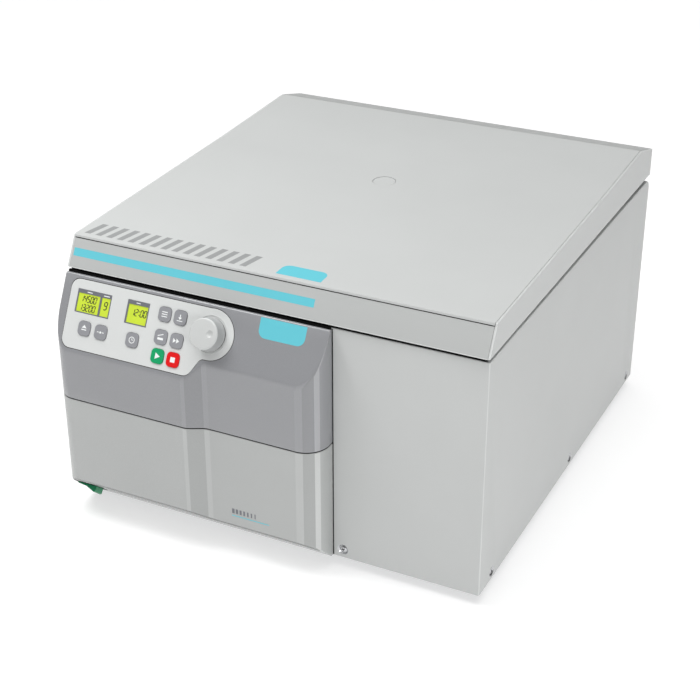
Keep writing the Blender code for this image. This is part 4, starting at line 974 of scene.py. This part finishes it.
def bucket_mesh(place):
    """A swing bucket with a rolled rim, a waist band and its two lugs, hung on its trunnion."""
    outer, wall, bottom, top = 43.5, 3.0, -90.0, 17.0
    inner = outer - wall
    profile = [(0, bottom), (outer - 8, bottom), *arc((outer - 6, bottom + 6), 6, 285, 360, 6),
               (outer - 0.8, bottom + 8), (outer - 0.8, -16), (outer, -15), (outer, top - 1),
               *arc((outer - 1, top - 1), 1, 0, 90, 4), *arc((inner + 1, top - 1), 1, 90, 180, 4),
               (inner, bottom + wall + 6),
               *arc((inner - 6, bottom + wall + 6), 6, 0, -90, 6), (0, bottom + wall)]
    meshes = [lathe(millimetres(profile), 96, place)]
    outline = rounded(-8 * MM, -9 * MM, 8 * MM, 10 * MM, 2 * MM, 4)
    for low, high in ((42.4, 48.6), (-48.6, -42.4)):
        meshes.append(prism(outline, low * MM, high * MM, place @ FRONTWARD, [circle((0, 0), 5.6 * MM, 32)]))
    return merged(meshes)


def build_rotor():
    """The yoke with its trunnion pins, the nut that holds it, and the four buckets."""
    centre = Matrix.Translation((0, ROTOR_Y, 0))
    low, high = (corner[2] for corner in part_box("rotor_yoke"))
    reach = math.degrees(math.asin(49.2 / 51))
    outline = []
    for quarter in range(4):
        turn = Matrix.Rotation(quarter * math.pi / 2, 2)
        points = [*arc((95, 0), 51, 180 + reach, 180 - reach, 28), (112, 49.2), (112, 73), (73, 112),
                  (49.2, 112)]
        outline += [tuple(turn @ Vector(point) * MM) for point in points]
    holes = [circle((0, 0), 8.3 * MM, 48)]
    yoke = draw("yoke", prism(outline, low, high, centre, holes))
    dish = [(0, high - 1.6 * MM), (25 * MM, high - 1.6 * MM), (26.5 * MM, high + 1 * MM), (0, high + 1 * MM)]
    carve(yoke, lathe(dish, 96, centre))
    for quarter in range(4):
        turn = math.radians(45 + 90 * quarter)
        place = centre @ Matrix.Translation((78 * MM * math.cos(turn), 78 * MM * math.sin(turn), high))
        pocket = [(0, -9 * MM), (11 * MM, -9 * MM), (12 * MM, -8 * MM), (12 * MM, 1 * MM), (0, 1 * MM)]
        carve(yoke, lathe(pocket, 48, place))
    dress(yoke, ANODISED, "rotor", "anodised_aluminium", ("rotor_yoke",), edge=0.8 * MM)
    pins = []
    for quarter in range(4):
        turn = centre @ Matrix.Rotation(quarter * math.pi / 2, 4, "Z")
        for start, end in ((45.6, 49.4), (-49.4, -45.6)):
            pin = circle((TRUNNION_RADIUS, TRUNNION_Z), 4.9 * MM, 32)
            pins.append(prism(pin, start * MM, end * MM, turn @ FRONTWARD))
    piece("yoke_pins", merged(pins), STEEL, "rotor", "machined_steel")
    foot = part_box("rotor_nut")[0][2]
    nut = [(6.4 * MM, foot), (13.6 * MM, foot), (14 * MM, foot + 0.5 * MM), (14 * MM, foot + 15 * MM),
           *[(radius * MM, foot + up * MM) for radius, up in
             (*arc((11, 16.6), 3, 0, 90, 6), (3, 19.6), (2.4, 18.4), (0, 18.4), (0, 12), (6.4, 12))]]
    knob = draw("rotor_nut_cap", lathe(nut, 96, centre))
    for number in range(12):
        turn = math.tau * number / 12
        flute = centre @ Matrix.Translation((15 * MM * math.cos(turn), 15 * MM * math.sin(turn), 0))
        low, high, half = foot + 2 * MM, foot + 22 * MM, 2 * MM
        carve(knob, lathe([(0, low), (half, low), (half, high), (0, high)], 16, flute))
    dress(knob, STEEL, "rotor", "machined_steel", ("rotor_nut",), edge=0.25 * MM, segments=2)
    for number in range(4):
        turn = centre @ Matrix.Rotation(number * math.pi / 2, 4, "Z")
        place = turn @ Matrix.Translation((TRUNNION_RADIUS, 0, TRUNNION_Z))
        name = f"bucket_{number + 1}"
        piece(f"{name}_cup", bucket_mesh(place), ANODISED, name, "anodised_aluminium", (name,), smooth=40)


def build_chamber():
    """The spun bowl and its gasket, and real surfaces for the machinery that keeps its CAD shape."""
    centre = Matrix.Translation((0, ROTOR_Y, 0))
    floor, rim = BOWL_LOW[2], BOWL_HIGH[2]
    radius, wall, bend = 208.5 * MM, 1.5 * MM, 28 * MM
    corner = (radius - bend, floor + wall + bend)
    flange = BOWL_HIGH[0]
    bowl = [(30 * MM, floor + wall), (34 * MM, floor + wall), (90 * MM, floor + wall + 0.02 * MM),
            *arc(corner, bend, 270, 360, 16), (radius, rim - 3 * MM),
            *arc((radius + 3 * MM, rim - 3 * MM), 3 * MM, 180, 90, 5),
            (flange, rim), (flange, rim - wall), (radius + 3 * MM, rim - wall), (radius + wall, rim - 3 * MM),
            *arc(corner, bend + wall, 360, 270, 16), (30 * MM, floor)]
    piece("bowl", lathe(bowl, 192, centre, ring=True), SPUN, "casing", "stainless_steel", ("chamber_bowl",),
          smooth=40)
    low, high = (corner[2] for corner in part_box("chamber_gasket"))
    seal = [(213, 0), (227, 0), (226.4, 1.4), (224.6, 2), (223.6, 3.4), (221.6, 3.9), (218.4, 3.9),
            (216.4, 3.4), (215.4, 2), (213.6, 1.4)]
    scale = (high - low) / (3.9 * MM)
    seal = [(radius * MM, low + up * MM * scale) for radius, up in seal]
    piece("gasket", lathe(seal, 192, centre, ring=True), RUBBER, "casing", "rubber", ("chamber_gasket",),
          smooth=50)
    for surface, edge, nodes in (
            (BLACK, 0, "motor fan_rotor strut_cylinder_left strut_cylinder_right"),
            (BLACK, 0.3, "mains_inlet"), (BLACK, 0.4, "fan_frame"), (BLACK, 0.8, "lock_bearing"),
            (STEEL, 0, "drive_shaft strut_rod_left strut_rod_right"),
            (STEEL, 0.3, "hinge_bracket_left hinge_bracket_right"),
            (STEEL, 0.4, "lid_lock striker_left striker_right lid_hinge_leaf_left lid_hinge_leaf_right"),
            (LINER, 0.8, "lid_liner"), (BOARD, 0, "control_board"), (ANODISED, 0, "motor_drive"),
            (RUBBER, 0, "motor_mount_1 motor_mount_2 motor_mount_3")):
        for node in nodes.split():
            refinish(node, surface, edge * MM)


# ---------------------------------------------------------------- studio


def area_light(name, power, size, place, target):
    data = bpy.data.lights.new(name, "AREA")
    data.shape = "RECTANGLE"
    data.size, data.size_y = size
    data.energy = power
    made = bpy.data.objects.new(name, data)
    made.location = place
    made.rotation_euler = (Vector(target) - Vector(place)).to_track_quat("-Z", "Y").to_euler()
    bpy.context.scene.collection.objects.link(made)


def build_studio():
    """The camera at the picture's angle, a pale floor that glows a little, a soft sky and two soft boxes."""
    data = bpy.data.cameras.new("camera")
    data.lens = 77.77
    data.sensor_width = 36
    camera = bpy.data.objects.new("camera", data)
    camera.location = (0.79947, -1.68939, 1.13731)
    camera.rotation_euler = (math.radians(62.187), 0, math.radians(26.176))
    bpy.context.scene.collection.objects.link(camera)
    bpy.context.scene.camera = camera

    floor = draw("floor", prism(rectangle(-9, -9, 9, 9), -0.02, 0))
    pale = material("floor_white", (0.55, 0.55, 0.55), 0.6, grain=60, depth=0.0, mottle=0.004)
    pale.node_tree.nodes["Principled BSDF"].inputs["Emission Color"].default_value = (1, 1, 1, 1)
    pale.node_tree.nodes["Principled BSDF"].inputs["Emission Strength"].default_value = 0.53
    floor.data.materials.append(pale)
    build_sky()
    bpy.context.scene.view_settings.view_transform = "Standard"
    area_light("key_box", 17, (0.7, 0.7), (2.0, -1.8, 1.0), (0, -0.1, 0.2))
    area_light("left_box", 10, (0.6, 0.6), (-0.8, -0.6, 1.6), (-0.1, -0.1, 0.39))


def build_sky():
    """A dome that is bright overhead and dim at the horizon, like a large softbox."""
    world = bpy.data.worlds.new("studio")
    bpy.context.scene.world = world
    world.use_nodes = True
    nodes = world.node_tree.nodes
    links = world.node_tree.links
    place = nodes.new("ShaderNodeTexCoord")
    split = nodes.new("ShaderNodeSeparateXYZ")
    links.new(place.outputs["Generated"], split.inputs["Vector"])
    chain = split.outputs["Z"]
    for operation, value in (("MAXIMUM", 0.0), ("POWER", 6.0), ("MULTIPLY", 3.3), ("ADD", 0.05)):
        step = nodes.new("ShaderNodeMath")
        step.operation = operation
        step.inputs[1].default_value = value
        links.new(chain, step.inputs[0])
        chain = step.outputs["Value"]
    links.new(chain, nodes["Background"].inputs["Strength"])
    nodes["Background"].inputs["Color"].default_value = (1, 1, 1, 1)


build_casing()
build_screws()
build_covers()
build_lid()
build_lid_print()
build_displays()
build_plate()
build_keys()
build_painted_shadows()
build_knob()
build_switch()
build_chamber()
build_rotor()
build_studio()
